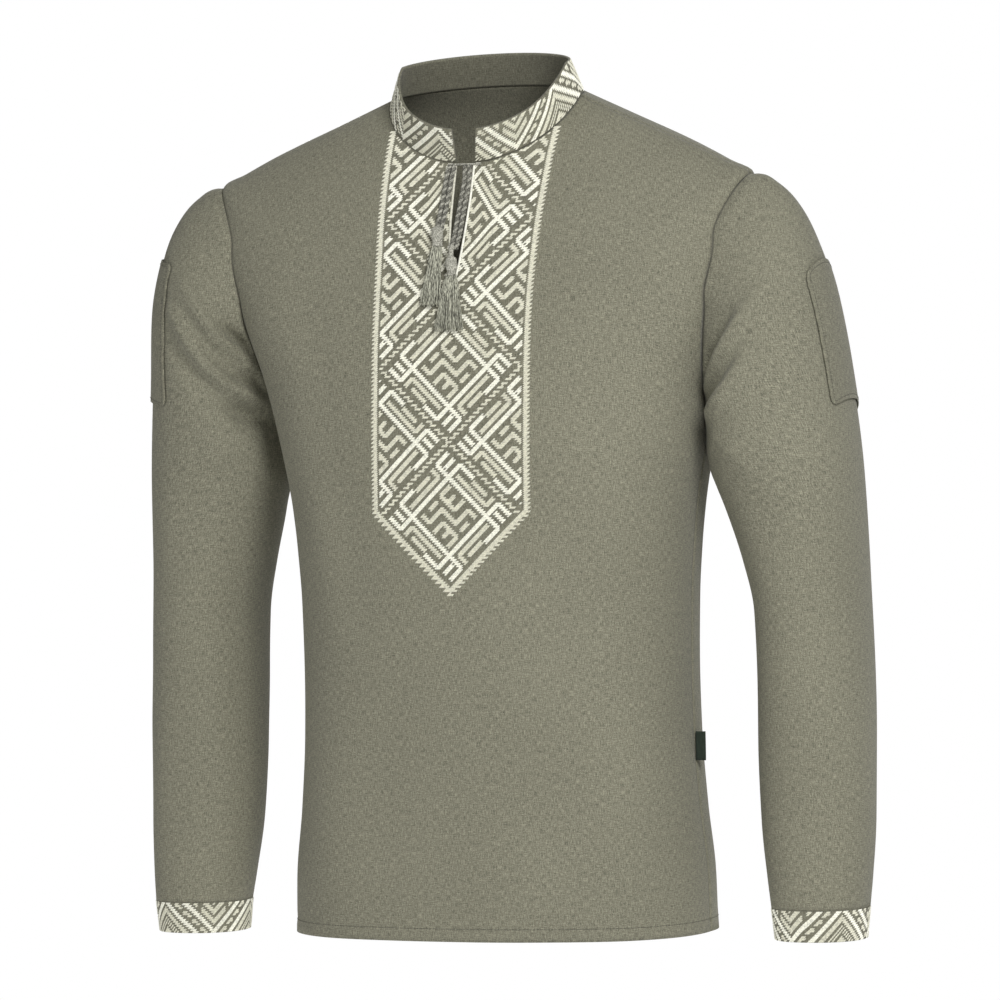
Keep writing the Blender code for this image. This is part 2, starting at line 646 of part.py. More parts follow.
def tassel_head(name, place, parts):
    """The bound head, turned from its profile and flattened towards the cloth."""
    profile = [(0.0, 0.0)] + [(radius, -down) for radius, down in HEAD_PROFILE[name]]
    profile.append((0.0, profile[-1][1]))
    mesh = bmesh.new()
    verts = [mesh.verts.new((radius, 0, height)) for radius, height in profile]
    for a, b in zip(verts, verts[1:]):
        mesh.edges.new((a, b))
    data = bpy.data.meshes.new(name)
    mesh.to_mesh(data)
    mesh.free()
    head = add_object(name, data, "tassel", parts)
    turn = head.modifiers.new("Turn", "SCREW")
    turn.steps = HEAD_SIDES
    turn.render_steps = HEAD_SIDES
    turn.use_merge_vertices = True
    turn.merge_threshold = 0.00001
    head.scale = (1.0, HEAD_FLATNESS, 1.0)
    head.location = place
    return head


def strand_routes(row, root):
    """Routes of the strands, from rows of roots inside the head to an uneven fan on the cloth."""
    top = dict(zip(TASSEL_COLUMNS, row))
    routes = []
    for deep in range(STRANDS_DEEP):
        for across in range(STRANDS_ACROSS):
            u = 2 * (across + 0.5) / STRANDS_ACROSS - 1
            start = root + np.array((
                u * STRAND_ROOT_HALF_WIDTH, (deep - 1) * STRAND_ROOT_PITCH, STRAND_ROOT_LENGTH,
            ))
            uneven = math.sin(2.4 * across + 4.1 * deep)
            end_x = top["end_x"] + u * top["end_half_width"] + (deep - 1) * STRAND_UNEVEN / 3
            end_z = top["end_z"] + STRAND_UNEVEN * uneven
            out = (STRANDS_DEEP - deep) * STRAND_END_PITCH
            end = np.array((end_x, front_depth(end_x, end_z) - out, end_z))
            knee = start + (end - start) * 0.45
            knee[0] = start[0] + (end[0] - start[0]) * 0.36
            knee[1] = min(knee[1], front_depth(knee[0], knee[2]) - out)
            routes.append([start, knee, end])
    return routes


def make_tassels(parts, helpers):
    for name, row in TASSELS.items():
        top = dict(zip(TASSEL_COLUMNS, row))
        depth = HEAD_PROFILE[name][-1][1]
        root_x, root_z = top["top_x"], top["top_z"] - depth
        widest = max(radius for radius, down in HEAD_PROFILE[name])
        face = min(front_depth(root_x, root_z), front_depth(root_x, top["top_z"]) - SEAM_GAP)
        place_y = face - HEAD_CLEAR - widest * HEAD_FLATNESS
        head = tassel_head(name, (root_x, place_y, top["top_z"]), parts)
        routes = strand_routes(row, np.array((root_x, place_y, root_z)))
        guide = bpy.data.objects.new(name + "_guide", cord_curve(name + "_guide", routes, STRAND_RADIUS, 0))
        helpers.objects.link(guide)
        bpy.context.view_layer.update()
        graph = bpy.context.evaluated_depsgraph_get()
        data = bpy.data.meshes.new_from_object(guide.evaluated_get(graph))
        bpy.data.objects.remove(guide, do_unlink=True)
        mesh = bmesh.new()
        mesh.from_mesh(data)
        bmesh.ops.remove_doubles(mesh, verts=mesh.verts, dist=0.000001)
        mesh.to_mesh(data)
        mesh.free()
        strands = bpy.data.objects.new(name + "_strands", data)
        strands.hide_render = True
        strands.display_type = "WIRE"
        helpers.objects.link(strands)
        join = head.modifiers.new("Roots", "BOOLEAN")
        join.operation = "UNION"
        join.solver = "EXACT"
        join.object = strands


def main():
    clear_scene()
    parts = collection("embroidered_shirt")
    helpers = collection("joined_pieces")
    make_front(parts)
    make_back(parts)
    make_sleeves(parts)
    make_collar(parts)
    make_cuffs(parts)
    make_patches(parts)
    make_label(parts)
    make_ties(parts)
    make_tassels(parts, helpers)


main()
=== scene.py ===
"""Embroidered shirt: the visual model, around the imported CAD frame.

Metres, +Z up, the front faces -Y and the wearer's left is +X. The rings of the body and sleeves, and
the routes of the ties and tassels, are those of the part's source. Every soft solid of the frame is
replaced here by a finer piece of the same form, with its folds, hems, stitches and embroidery.
"""

import math

import bpy
import numpy as np
from mathutils import Matrix, Vector


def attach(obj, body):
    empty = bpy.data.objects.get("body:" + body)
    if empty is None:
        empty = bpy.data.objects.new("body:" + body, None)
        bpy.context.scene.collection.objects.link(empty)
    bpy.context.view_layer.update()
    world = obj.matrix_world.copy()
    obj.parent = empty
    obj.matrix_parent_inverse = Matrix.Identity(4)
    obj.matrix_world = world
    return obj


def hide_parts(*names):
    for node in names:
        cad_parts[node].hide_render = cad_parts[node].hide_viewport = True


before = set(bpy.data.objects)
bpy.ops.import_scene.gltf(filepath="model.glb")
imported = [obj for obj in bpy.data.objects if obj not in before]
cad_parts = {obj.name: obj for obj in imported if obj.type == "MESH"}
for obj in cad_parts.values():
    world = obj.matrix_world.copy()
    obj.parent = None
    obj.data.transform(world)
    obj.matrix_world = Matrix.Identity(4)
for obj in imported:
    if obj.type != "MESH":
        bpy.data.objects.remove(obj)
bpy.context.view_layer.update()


class Table:
    """A table whose columns are smooth curves along its first one."""

    def __init__(self, columns, rows):
        values = np.array(rows, float)
        self.places = values[:, 0]
        self.curves = {name: values[:, i] for i, name in enumerate(columns) if i}

    def at(self, name, place):
        return smooth(self.places, self.curves[name], place)

    def row(self, place):
        return {name: self.at(name, place) for name in self.curves}


# The part's own sizes
WALL = 0.0012
SEAM_GAP = 0.0003
PANEL_SEAM_GAP = 0.0002
SLEEVE_SEAM_GAP = 0.0003
DENSE = 400

BODY = Table((
    "station", "side_z", "front_z", "back_z", "half_width", "side_y", "front_y", "back_y", "power",
    "front_fall", "back_fall",
), (
    (0.00, 0.004, -0.054, 0.016, 0.087, 0.012, -0.044, 0.075, 2.00, 1.2, 1.0),
    (0.33, -0.016, -0.084, -0.004, 0.132, 0.008, -0.055, 0.092, 2.10, 1.5, 1.0),
    (0.66, -0.040, -0.117, -0.032, 0.188, 0.004, -0.068, 0.107, 2.18, 1.6, 1.1),
    (0.85, -0.056, -0.134, -0.052, 0.220, 0.003, -0.073, 0.113, 2.15, 1.6, 1.2),
    (1.00, -0.068, -0.148, -0.070, 0.2415, 0.002, -0.077, 0.117, 2.15, 1.55, 1.3),
    (1.15, -0.102, -0.170, -0.104, 0.243, 0.004, -0.083, 0.123, 2.30, 1.5, 1.4),
    (1.40, -0.160, -0.206, -0.160, 0.230, 0.009, -0.090, 0.130, 2.50, 1.5, 1.5),
    (1.70, -0.233, -0.250, -0.233, 0.205, 0.017, -0.095, 0.135, 2.60, 1.5, 1.5),
    (2.00, -0.298, -0.298, -0.298, 0.190, 0.025, -0.099, 0.138, 2.60, 1.5, 1.5),
    (2.10, -0.347, -0.347, -0.347, 0.181, 0.027, -0.101, 0.140, 2.55, 1.5, 1.5),
    (2.20, -0.386, -0.386, -0.386, 0.177, 0.027, -0.102, 0.139, 2.50, 1.5, 1.5),
    (2.30, -0.431, -0.431, -0.431, 0.174, 0.027, -0.101, 0.138, 2.50, 1.5, 1.5),
    (2.45, -0.494, -0.494, -0.494, 0.173, 0.027, -0.100, 0.135, 2.50, 1.5, 1.5),
    (2.60, -0.550, -0.550, -0.550, 0.174, 0.027, -0.099, 0.135, 2.50, 1.5, 1.5),
    (2.75, -0.610, -0.610, -0.610, 0.178, 0.027, -0.099, 0.136, 2.50, 1.5, 1.5),
    (2.90, -0.672, -0.672, -0.672, 0.1845, 0.027, -0.099, 0.136, 2.50, 1.5, 1.5),
    (3.00, -0.719, -0.719, -0.719, 0.1855, 0.027, -0.098, 0.137, 2.50, 1.5, 1.5),
))
SHOULDER_SEAM = Table(("station", "sine"), ((0.0, 0.04), (0.2, 0.06), (0.5, 0.05), (1.0, 0.0)))
ARMHOLE = Table(("turn", "front_sine", "back_sine"), (
    (0, 0.000, 0.000),
    (20, 0.270, 0.170),
    (45, 0.450, 0.330),
    (70, 0.450, 0.420),
    (90, 0.370, 0.430),
    (110, 0.235, 0.360),
    (135, 0.085, 0.210),
    (160, 0.020, 0.080),
    (180, 0.000, 0.000),
))
SLEEVE = Table((
    "station", "outer_x", "outer_y", "outer_z", "inner_x", "inner_y", "inner_z", "half_depth", "power",
), (
    (0, 0.2415, 0.001, -0.068, 0.190, 0.024, -0.298, 0.055, 2.0),
    (1, 0.268, 0.000, -0.079, 0.192, 0.024, -0.310, 0.062, 2.0),
    (2, 0.286, 0.002, -0.100, 0.196, 0.024, -0.321, 0.067, 2.0),
    (3, 0.297, 0.006, -0.125, 0.200, 0.026, -0.332, 0.070, 2.0),
    (4, 0.308, 0.013, -0.167, 0.206, 0.029, -0.347, 0.072, 2.1),
    (5, 0.316, 0.026, -0.232, 0.213, 0.034, -0.369, 0.072, 2.1),
    (6, 0.323, 0.036, -0.320, 0.223, 0.038, -0.402, 0.069, 2.2),
    (7, 0.326, 0.041, -0.410, 0.231, 0.041, -0.445, 0.065, 2.2),
    (8, 0.329, 0.041, -0.480, 0.232, 0.041, -0.495, 0.061, 2.2),
    (9, 0.331, 0.038, -0.550, 0.232, 0.038, -0.555, 0.056, 2.2),
    (10, 0.331, 0.034, -0.620, 0.2345, 0.034, -0.622, 0.051, 2.2),
    (11, 0.329, 0.029, -0.668, 0.240, 0.029, -0.668, 0.048, 2.2),
    (12, 0.327, 0.026, -0.696, 0.244, 0.026, -0.696, 0.045, 2.2),
))
SLEEVE_END = 12.0
ARMHOLE_FADE = 3.0
COLLAR_RISE = (0.004, -0.0148, 0.0275)
COLLAR_WALL = 0.0020
COLLAR_LEAN = Table(("turn", "lean_in"), (
    (0, 0.04), (50, 0.05), (75, 0.11), (95, 0.13), (140, 0.14), (180, 0.12),
))
COLLAR_GAP_BASE = 0.0085
COLLAR_GAP_TOP = 0.0110
CUFF_HEIGHT = 0.027
CUFF_TAPER = 0.0028
CUFF_WALL = 0.0018
SLIT_LENGTH = 0.112
SLIT_HALF_WIDTH = 0.0080
SLIT_POWER = 3.0
SLIT_SPREAD = 0.030

# Folds of the sleeves: a ridge or trough through three places, each a station and a turn round the arm.
# Then come its half width and its height. FOLDS are the CAD's own but for one front trough of each
# sleeve, whose place the finer CREASES take.
FOLDS = {
    "sleeve_left": (
        (2.6, 66, 1.7, 88, 0.4, 108, 0.016, 0.0040),
        (3.6, 84, 2.8, 108, 1.3, 132, 0.016, 0.0045),
        (3.0, 262, 2.0, 244, 0.6, 230, 0.018, -0.0050),
        (3.9, 268, 2.9, 244, 1.2, 222, 0.018, 0.0045),
    ),
    "sleeve_right": (
        (2.1, 60, 1.4, 82, 0.3, 103, 0.013, 0.0045),
        (3.0, 64, 2.3, 94, 0.8, 120, 0.013, 0.0050),
        (3.2, 90, 2.5, 112, 1.2, 134, 0.014, -0.0060),
        (2.8, 258, 1.9, 242, 0.5, 228, 0.018, -0.0050),
        (4.0, 266, 3.0, 246, 1.3, 224, 0.018, 0.0045),
    ),
}
CREASES = {
    "sleeve_left": (
        (2.30, 66, 1.75, 92, 0.35, 124, 0.0070, 0.0056),
        (0.30, -45, 0.45, 0, 0.30, 45, 0.0100, 0.0028),
        (1.50, 80, 0.90, 99, 0.05, 116, 0.0060, -0.0085),
        (2.62, 80, 2.10, 104, 0.60, 131, 0.0062, -0.0044),
        (2.95, 90, 2.40, 112, 0.95, 136, 0.0070, 0.0046),
        (1.30, 258, 1.00, 240, 0.20, 226, 0.0060, -0.0040),
        (2.00, 266, 1.60, 244, 0.50, 226, 0.0060, 0.0032),
        (5.2, 108, 4.2, 118, 2.6, 138, 0.012, 0.0022),
        (6.6, 96, 5.6, 106, 4.6, 120, 0.016, -0.0018),
        (8.2, 88, 7.0, 92, 6.0, 100, 0.020, 0.0016),
        (10.6, 70, 9.4, 74, 8.2, 82, 0.016, -0.0012),
        (7.6, 262, 6.4, 256, 5.2, 246, 0.020, 0.0020),
        (9.8, 250, 8.6, 254, 7.4, 262, 0.018, -0.0014),
    ),
    "sleeve_right": (
        (1.98, 58, 1.40, 83, 0.18, 105, 0.0070, 0.0056),
        (2.50, 68, 1.90, 91, 0.55, 113, 0.0080, -0.0050),
        (0.30, -45, 0.45, 0, 0.30, 45, 0.0100, 0.0028),
        (0.95, 84, 0.50, 93, 0.02, 101, 0.0048, -0.0125),
        (3.05, 58, 2.45, 91, 0.75, 122, 0.0075, 0.0060),
        (3.60, 66, 3.10, 94, 1.60, 124, 0.0100, -0.0036),
        (1.90, 99, 1.30, 107, 0.35, 116, 0.0052, -0.0075),
        (2.00, 116, 1.40, 125, 0.80, 134, 0.0080, -0.0090),
        (1.30, 258, 1.00, 240, 0.20, 226, 0.0060, -0.0040),
        (2.20, 266, 1.80, 244, 0.50, 224, 0.0060, 0.0034),
        (5.0, 104, 4.0, 118, 2.6, 138, 0.012, 0.0022),
        (6.4, 88, 5.4, 102, 4.4, 118, 0.016, -0.0018),
        (8.4, 84, 7.2, 92, 6.0, 104, 0.020, 0.0016),
        (10.8, 74, 9.6, 80, 8.4, 88, 0.016, -0.0012),
        (7.4, 264, 6.2, 256, 5.0, 244, 0.020, 0.0020),
        (9.6, 248, 8.4, 254, 7.2, 264, 0.018, -0.0014),
    ),
}
CREASE_SEAM_FADE = 0.007
FOLD_SEAM_FADE = 0.030

# Patch panel on each upper arm, as a face that hangs down: heights at the arm's outer line, how far its
# ends bow down from there, and the turns round the arm of its front and back edges, going down
PATCH_COLUMNS = ("top_z", "bottom_z", "top_bow", "bottom_bow", "front_turns", "back_turns")
PATCHES = {
    "left": (-0.1427, -0.2616, 0.096, 0.056, (30, 30, 30), (-60, -60, -60)),
    "right": (-0.1300, -0.2530, 0.020, 0.012, (42, 59, 67), (-46, -29, -21)),
}
PATCH_WALL = 0.0010
PATCH_CLEAR = 0.0010
PATCH_CORNER = 0.009
PATCH_DENSE = 60

LABEL_WIDTH = 0.009
LABEL_HEIGHT = 0.025
LABEL_THICK = 0.0012
LABEL_Z = -0.559
LABEL_CLEAR = 0.0008
TAPE_WALL = 0.00035

TIE_RADIUS = 0.0019
TIE_CLEAR = 0.0007
TIES = {
    "tie_left_outer": (
        (-0.0128, -0.0566), (-0.0148, -0.066), (-0.0156, -0.080), (-0.0166, -0.094), (-0.0179, -0.1080),
    ),
    "tie_left_inner": (
        (-0.0086, -0.0566), (-0.0102, -0.068), (-0.0112, -0.082), (-0.0122, -0.095), (-0.0137, -0.1080),
    ),
    "tie_right_outer": (
        (0.0052, -0.0566), (0.0062, -0.068), (0.0056, -0.080), (0.0044, -0.096), (0.0036, -0.112),
        (0.0016, -0.1240),
    ),
    "tie_right_inner": (
        (0.0009, -0.0566), (0.0018, -0.068), (0.0012, -0.080), (0.0000, -0.096), (-0.0010, -0.112),
        (-0.0028, -0.1240),
    ),
}
TIE_INTO_HEAD = 0.0040
TIE_BAR_RADIUS = 0.0010
TIE_BAR_HALF_LENGTH = 0.0148
TIE_BAR_Z = -0.0552

TASSEL_COLUMNS = ("top_x", "top_z", "end_x", "end_z", "end_half_width")
TASSELS = {
    "tassel_left": (-0.0158, -0.1085, -0.0186, -0.1745, 0.0088),
    "tassel_right": (-0.0008, -0.1245, -0.0004, -0.1965, 0.0130),
}
# Outline of each tassel's head: radius, and distance down from its top
HEAD_PROFILE = {
    "tassel_left": ((0.0042, 0.0), (0.0052, 0.003), (0.0052, 0.009), (0.0044, 0.0135), (0.0050, 0.0165)),
    "tassel_right": (
        (0.0040, 0.0), (0.0024, 0.004), (0.0020, 0.009), (0.0048, 0.012), (0.0050, 0.019),
        (0.0036, 0.0230), (0.0046, 0.0260),
    ),
}
HEAD_FLATNESS = 0.62
HEAD_CLEAR = 0.0005

# The looks' own sizes

# Soft creases of the body through three places, each an x and a z, and then its half width and height
BODY_FOLDS = {
    "front": (
        (-0.155, -0.275, -0.125, -0.360, -0.112, -0.450, 0.022, 0.0030),
        (-0.120, -0.300, -0.098, -0.390, -0.090, -0.480, 0.024, -0.0026),
        (0.158, -0.280, 0.128, -0.360, 0.116, -0.460, 0.022, 0.0030),
        (0.122, -0.310, 0.104, -0.400, 0.094, -0.500, 0.024, -0.0026),
        (-0.120, -0.520, -0.128, -0.610, -0.130, -0.715, 0.026, 0.0030),
        (-0.060, -0.480, -0.066, -0.600, -0.070, -0.715, 0.030, -0.0026),
        (0.010, -0.500, 0.014, -0.610, 0.020, -0.715, 0.030, 0.0024),
        (0.078, -0.470, 0.084, -0.600, 0.086, -0.715, 0.028, -0.0028),
        (0.136, -0.500, 0.142, -0.610, 0.142, -0.715, 0.024, 0.0030),
        (-0.150, -0.150, -0.130, -0.200, -0.118, -0.260, 0.020, -0.0022),
        (0.156, -0.155, 0.134, -0.205, 0.122, -0.262, 0.020, -0.0022),
    ),
    "back": (
        (-0.150, -0.270, -0.120, -0.360, -0.100, -0.460, 0.024, 0.0034),
        (0.152, -0.275, 0.122, -0.370, 0.104, -0.470, 0.024, 0.0034),
        (-0.110, -0.300, -0.080, -0.420, -0.070, -0.540, 0.028, -0.0030),
        (0.112, -0.310, 0.084, -0.430, 0.072, -0.550, 0.028, -0.0030),
        (-0.120, -0.520, -0.126, -0.620, -0.128, -0.715, 0.026, 0.0034),
        (-0.040, -0.430, -0.046, -0.570, -0.050, -0.715, 0.032, 0.0030),
        (0.036, -0.450, 0.044, -0.580, 0.050, -0.715, 0.030, -0.0028),
        (0.120, -0.500, 0.128, -0.610, 0.132, -0.715, 0.026, 0.0034),
        (0.000, -0.090, 0.004, -0.150, 0.006, -0.230, 0.040, -0.0026),
    ),
}
SEAM_ROLL = 0.0012
SEAM_DEPTH = 0.0004
SEAM_SUNK = 0.0019
SEAM_ALLOWANCE = 0.0013
CREASE_SIDE_FADE = 0.02
HEM_HEIGHT = 0.011
HEM_STEP = 0.0005
HEM_EDGE = 0.0008
HEM_PULL = 0.0006
HEM_PULL_WIDTH = 0.0012
STITCH_LENGTH = 0.0022
STITCH_GAP = 0.0009
STITCH_HALF_WIDTH = 0.00028
STITCH_FOOT = 0.00005
STITCH_HEIGHT = 0.0004

# The weave keeps its scale over the shoulders by following a share of the depth as well as the height.
# That share fades out from one station on, over this reach of stations.
GRAIN_START = 0.3
GRAIN_REACH = 2.3
GRAIN_SHARE = 0.6
WEAVE_PITCH = 0.00082

# Twist of the ties, and winding of the tassel heads and the bar
TIE_STEP = 0.0008
TWIST_PITCH = 0.0068
STRAND_OFFSET = 0.00105
STRAND_RADIUS = 0.00118
BAR_TWIST = 0.0021
HEAD_ROUNDING = 0.0008
HEAD_WINDING = 0.0015
HEAD_WINDING_DEPTH = 0.00022

# Yarns of a tassel's skirt
YARN_LAYERS = 5
YARNS_A_LAYER = 17
YARN_RADIUS = 0.00042
YARN_ROOT_HALF_WIDTH = 0.0036
YARN_ROOT_INSIDE = 0.0012
YARN_ROOT_LAYER = 0.0009
YARN_CLEAR = 0.0012
YARN_LAYER = 0.0011
YARN_WAVE = 0.0007
YARN_STRAY = 0.0006
YARN_UNEVEN = (-0.0022, 0.0016)

# Satin-stitched edge of the slit
SATIN_RADIUS = 0.00105
SATIN_RIPPLE = 0.00016
SATIN_PITCH = 0.0011

# Fine grids
FRONT_ROWS = (60, 50, 80)
FRONT_COLUMNS = 150
BACK_ROWS = (34, 34, 50)
BACK_COLUMNS = 96
SLEEVE_RINGS = (90, 90)
SLEEVE_CAP = 0.22
SLEEVE_SIDES = 200
COLLAR_ROWS = 16
COLLAR_COLUMNS = 300
CUFF_ROWS = 12
CUFF_SIDES = 128
PATCH_FINE_ROWS = 60
PATCH_FINE_COLUMNS = 56
PATCH_STITCH_ROW = 4
PATCH_STITCH_COLUMN = 2
TUBE_SIDES = 8

# Regular grid over the embroidered part of the front
SURFACE_STEP = 0.002
SURFACE_TOP = -0.012
SURFACE_HALF = 41
SURFACE_ROWS = 212

# Embroidery: a chart of square cells. The panel's chart starts at the centre of a lozenge.
CELL = 0.00176
CHART_Z = -0.2290
CHART_TOP = -0.024
PANEL_HALF = 36
PERIOD = 72
BORDER_GAP = 1
BORDER_STRIPE = 3
TIP_ROW = 72
TIP_REACH = 33
PANEL_WIDTH = Table(("height", "half_width"), (
    (-0.420, 0.0646), (-0.350, 0.0646), (-0.200, 0.0648), (-0.160, 0.0652), (-0.120, 0.0666),
    (-0.080, 0.0684), (-0.030, 0.0704),
))
SLIT_CELLS = 0.0006
STROKE_SLOPE = 1.25
STROKE_LENGTH = 1.30
STROKE_WIDTH = 0.60
STROKES_A_CELL = 2
THREAD_LIFT = 0.00012
THREAD_HEIGHT = 0.00042
BAND_PERIOD = 52
BAND_DROP = 15

# Outline of the panel's ground, where the cloth between the stitches is darkened as painted shade
PAINTED_SHADE_HALF = 0.0655
PAINTED_SHADE_SPREAD = 0.045
PAINTED_SHADE_SPREAD_FROM = -0.160
PAINTED_SHADE_PAST_TIP = 0.001
PAINTED_SHADE_BACK = -0.030

# Places of a crease's or an edge's three given values along it
START_MIDDLE_END = np.array([0.0, 0.5, 1.0])


# The part's own forms
def smooth(knots, values, at):
    """Monotone cubic through the knots, so that a table's curve never overshoots its rows."""
    step = np.diff(knots)
    rise = np.diff(values) / step
    slope = np.zeros(len(knots))
    same_way = rise[:-1] * rise[1:] > 0
    first, second = 2 * step[1:] + step[:-1], step[1:] + 2 * step[:-1]
    with np.errstate(divide="ignore", invalid="ignore"):
        mean = (first + second) / (first / rise[:-1] + second / rise[1:])
    slope[1:-1] = np.where(same_way, mean, 0.0)
    slope[0], slope[-1] = rise[0], rise[-1]
    at = np.clip(np.asarray(at, float), knots[0], knots[-1])
    i = np.clip(np.searchsorted(knots, at, side="right") - 1, 0, len(step) - 1)
    t = (at - knots[i]) / step[i]
    return (
        values[i] * (1 + 2 * t) * (1 - t) ** 2
        + values[i + 1] * t * t * (3 - 2 * t)
        + step[i] * t * (1 - t) * (slope[i] * (1 - t) - slope[i + 1] * t)
    )


def ease(t):
    """From 0 to 1 with level ends."""
    t = np.clip(t, 0, 1)
    return t * t * (3 - 2 * t)


def unit(vectors):
    """These vectors at a length of 1."""
    return vectors / np.linalg.norm(vectors, axis=-1, keepdims=True)


def power_of(value, exponent):
    """A signed power, which rounds or squares an ellipse."""
    return np.sign(value) * np.abs(value) ** exponent


def body_point(station, sine, face):
    """A point of the body's outer face on the +X half. face is "front" or "back"."""
    r = BODY.row(station)
    sine = np.clip(sine, 0.0, 1.0)
    x = r["half_width"] * (1 - sine * sine) ** (1 / r["power"])
    y = r["side_y"] + (r[face + "_y"] - r["side_y"]) * sine ** (2 / r["power"])
    z = r["side_z"] + (r[face + "_z"] - r["side_z"]) * sine ** r[face + "_fall"]
    return np.stack(np.broadcast_arrays(x, y, z), axis=-1)


def edge_sine(station, face):
    """Where a panel's outer edge cuts the rings: shoulder seam, armhole, then side seam."""
    station = np.asarray(station, float)
    shoulder = SHOULDER_SEAM.at("sine", station)
    turn = np.degrees(np.arccos(np.clip(3 - 2 * station, -1, 1)))
    arm = ARMHOLE.at(face + "_sine", turn)
    seam = shoulder if face == "front" else -shoulder
    return np.where(station < 1, seam, np.where(station < 2, arm, 0.0))


def row_points(station, face):
    """A dense run of points along one ring, from the panel's edge to its centre line."""
    edge = float(edge_sine(station, face))
    angle = np.linspace(math.asin(max(edge, 0.0)), math.pi / 2, DENSE)
    run = body_point(station, np.sin(angle), face)
    if edge < 0:
        over = body_point(station, np.sin(np.linspace(math.asin(-edge), 0, DENSE // 8)[:-1]), "front")
        run = np.concatenate([over, run])
    return run


def along(run):
    """Distance along a run of points."""
    return np.concatenate([[0.0], np.cumsum(np.linalg.norm(np.diff(run, axis=0), axis=1))])


def spaced(run, shares, start_gap=0.0, end_gap=0.0):
    """Points at these shares of a run's length, with a gap left at its ends."""
    length = along(run)
    at = start_gap + np.asarray(shares) * (length[-1] - start_gap - end_gap)
    return np.stack([np.interp(at, length, run[:, k]) for k in range(3)], axis=1)


def panel_grid(face, stations, columns, gap):
    """Rows of points across a whole panel, from the wearer's right edge to the left."""
    shares = np.linspace(0, 1, columns // 2 + 1)
    rows = []
    for station in stations:
        half = spaced(row_points(station, face), shares, start_gap=gap)
        mirror = half * (-1, 1, 1)
        rows.append(np.concatenate([mirror, half[-2::-1]]))
    return np.array(rows)


def armhole_curve(turn):
    """The armhole seam: turn 0 at the shoulder tip, 90 at the front, 180 at the underarm, 270 at the back."""
    turn = np.asarray(turn, float) % 360
    station = 1 + (1 - np.cos(np.radians(turn))) / 2
    down = np.where(turn <= 180, turn, 360 - turn)
    front = body_point(station, ARMHOLE.at("front_sine", down), "front")
    back = body_point(station, ARMHOLE.at("back_sine", down), "back")
    return np.where((turn <= 180)[:, None], front, back)


def sleeve_ellipse(station, turn):
    """A point of the left sleeve's rounded or squared ring, at this turn round the arm."""
    r = SLEEVE.row(station)
    outer = np.stack([r["outer_x"], r["outer_y"], r["outer_z"]], axis=-1)
    inner = np.stack([r["inner_x"], r["inner_y"], r["inner_z"]], axis=-1)
    cosine = power_of(np.cos(np.radians(turn)), 2 / r["power"])[..., None]
    sine = power_of(np.sin(np.radians(turn)), 2 / r["power"])[..., None]
    forward = np.stack([0 * r["outer_x"], -r["half_depth"], 0 * r["outer_x"]], axis=-1)
    return (outer + inner) / 2 + (outer - inner) / 2 * cosine + forward * sine


def sleeve_point(station, turn):
    """A point of the left sleeve's outer face. Its first rings pass from the armhole's curve to ellipses."""
    station, turn = np.broadcast_arrays(np.asarray(station, float), np.asarray(turn, float))
    station, turn = station.ravel(), turn.ravel()
    off = armhole_curve(turn) - sleeve_ellipse(np.zeros(len(turn)), turn)
    return sleeve_ellipse(station, turn) + off * (1 - ease(station / ARMHOLE_FADE))[:, None]


def sleeve_line(turn):
    """A dense run of points down the sleeve at one turn round the arm."""
    return sleeve_point(np.linspace(0.0, SLEEVE_END, DENSE), turn)


def outward(grid, closed_round=False):
    """Unit normals of a grid whose rows run down and whose columns run clockwise seen from above."""
    down = np.gradient(grid, axis=0)
    if closed_round:
        across = np.roll(grid, -1, axis=1) - np.roll(grid, 1, axis=1)
    else:
        across = np.gradient(grid, axis=1)
    return unit(np.cross(across, down))


def crest_lift(grid, crest, half_width, height):
    """Lift along a crest, a line of points, that dies out at its ends and to its sides."""
    share = np.linspace(0, 1, len(crest))
    away = np.linalg.norm(grid[..., None, :] - crest, axis=-1)
    nearest = away.argmin(axis=-1)
    across = away.min(axis=-1) / half_width
    return height * np.exp(-across * across) * np.sin(np.pi * (0.12 + 0.76 * share[nearest]))


def fold_lift(grid, folds):
    """How far each point of a sleeve is lifted by its ridges and troughs."""
    lift = np.zeros(grid.shape[:2])
    t = np.linspace(0, 1, 25)
    for *places, half_width, height in folds:
        stations = np.interp(t, START_MIDDLE_END, places[0::2])
        turns = np.interp(t, START_MIDDLE_END, places[1::2])
        lift += crest_lift(grid, sleeve_point(stations, turns), half_width, height)
    return lift


def body_lift(x, z, face):
    """How far the front or back is lifted by its creases, at places given as x and height."""
    flat = np.stack([x, z], axis=-1)
    lift = np.zeros(x.shape)
    t = np.linspace(0, 1, 31)
    for *places, half_width, height in BODY_FOLDS[face]:
        across = smooth(START_MIDDLE_END, np.array(places[0::2]), t)
        down = np.interp(t, START_MIDDLE_END, places[1::2])
        lift += crest_lift(flat, np.stack([across, down], axis=1), half_width, height)
    return lift


def seam_fade(grid, reach):
    """0 on the first row of a grid, rising to 1 this far down its columns."""
    return ease(down_columns(grid) / reach)


def down_columns(grid):
    """Distance down each column from the first row."""
    steps = np.linalg.norm(np.diff(grid, axis=0), axis=2)
    return np.concatenate([np.zeros((1, grid.shape[1])), np.cumsum(steps, axis=0)])


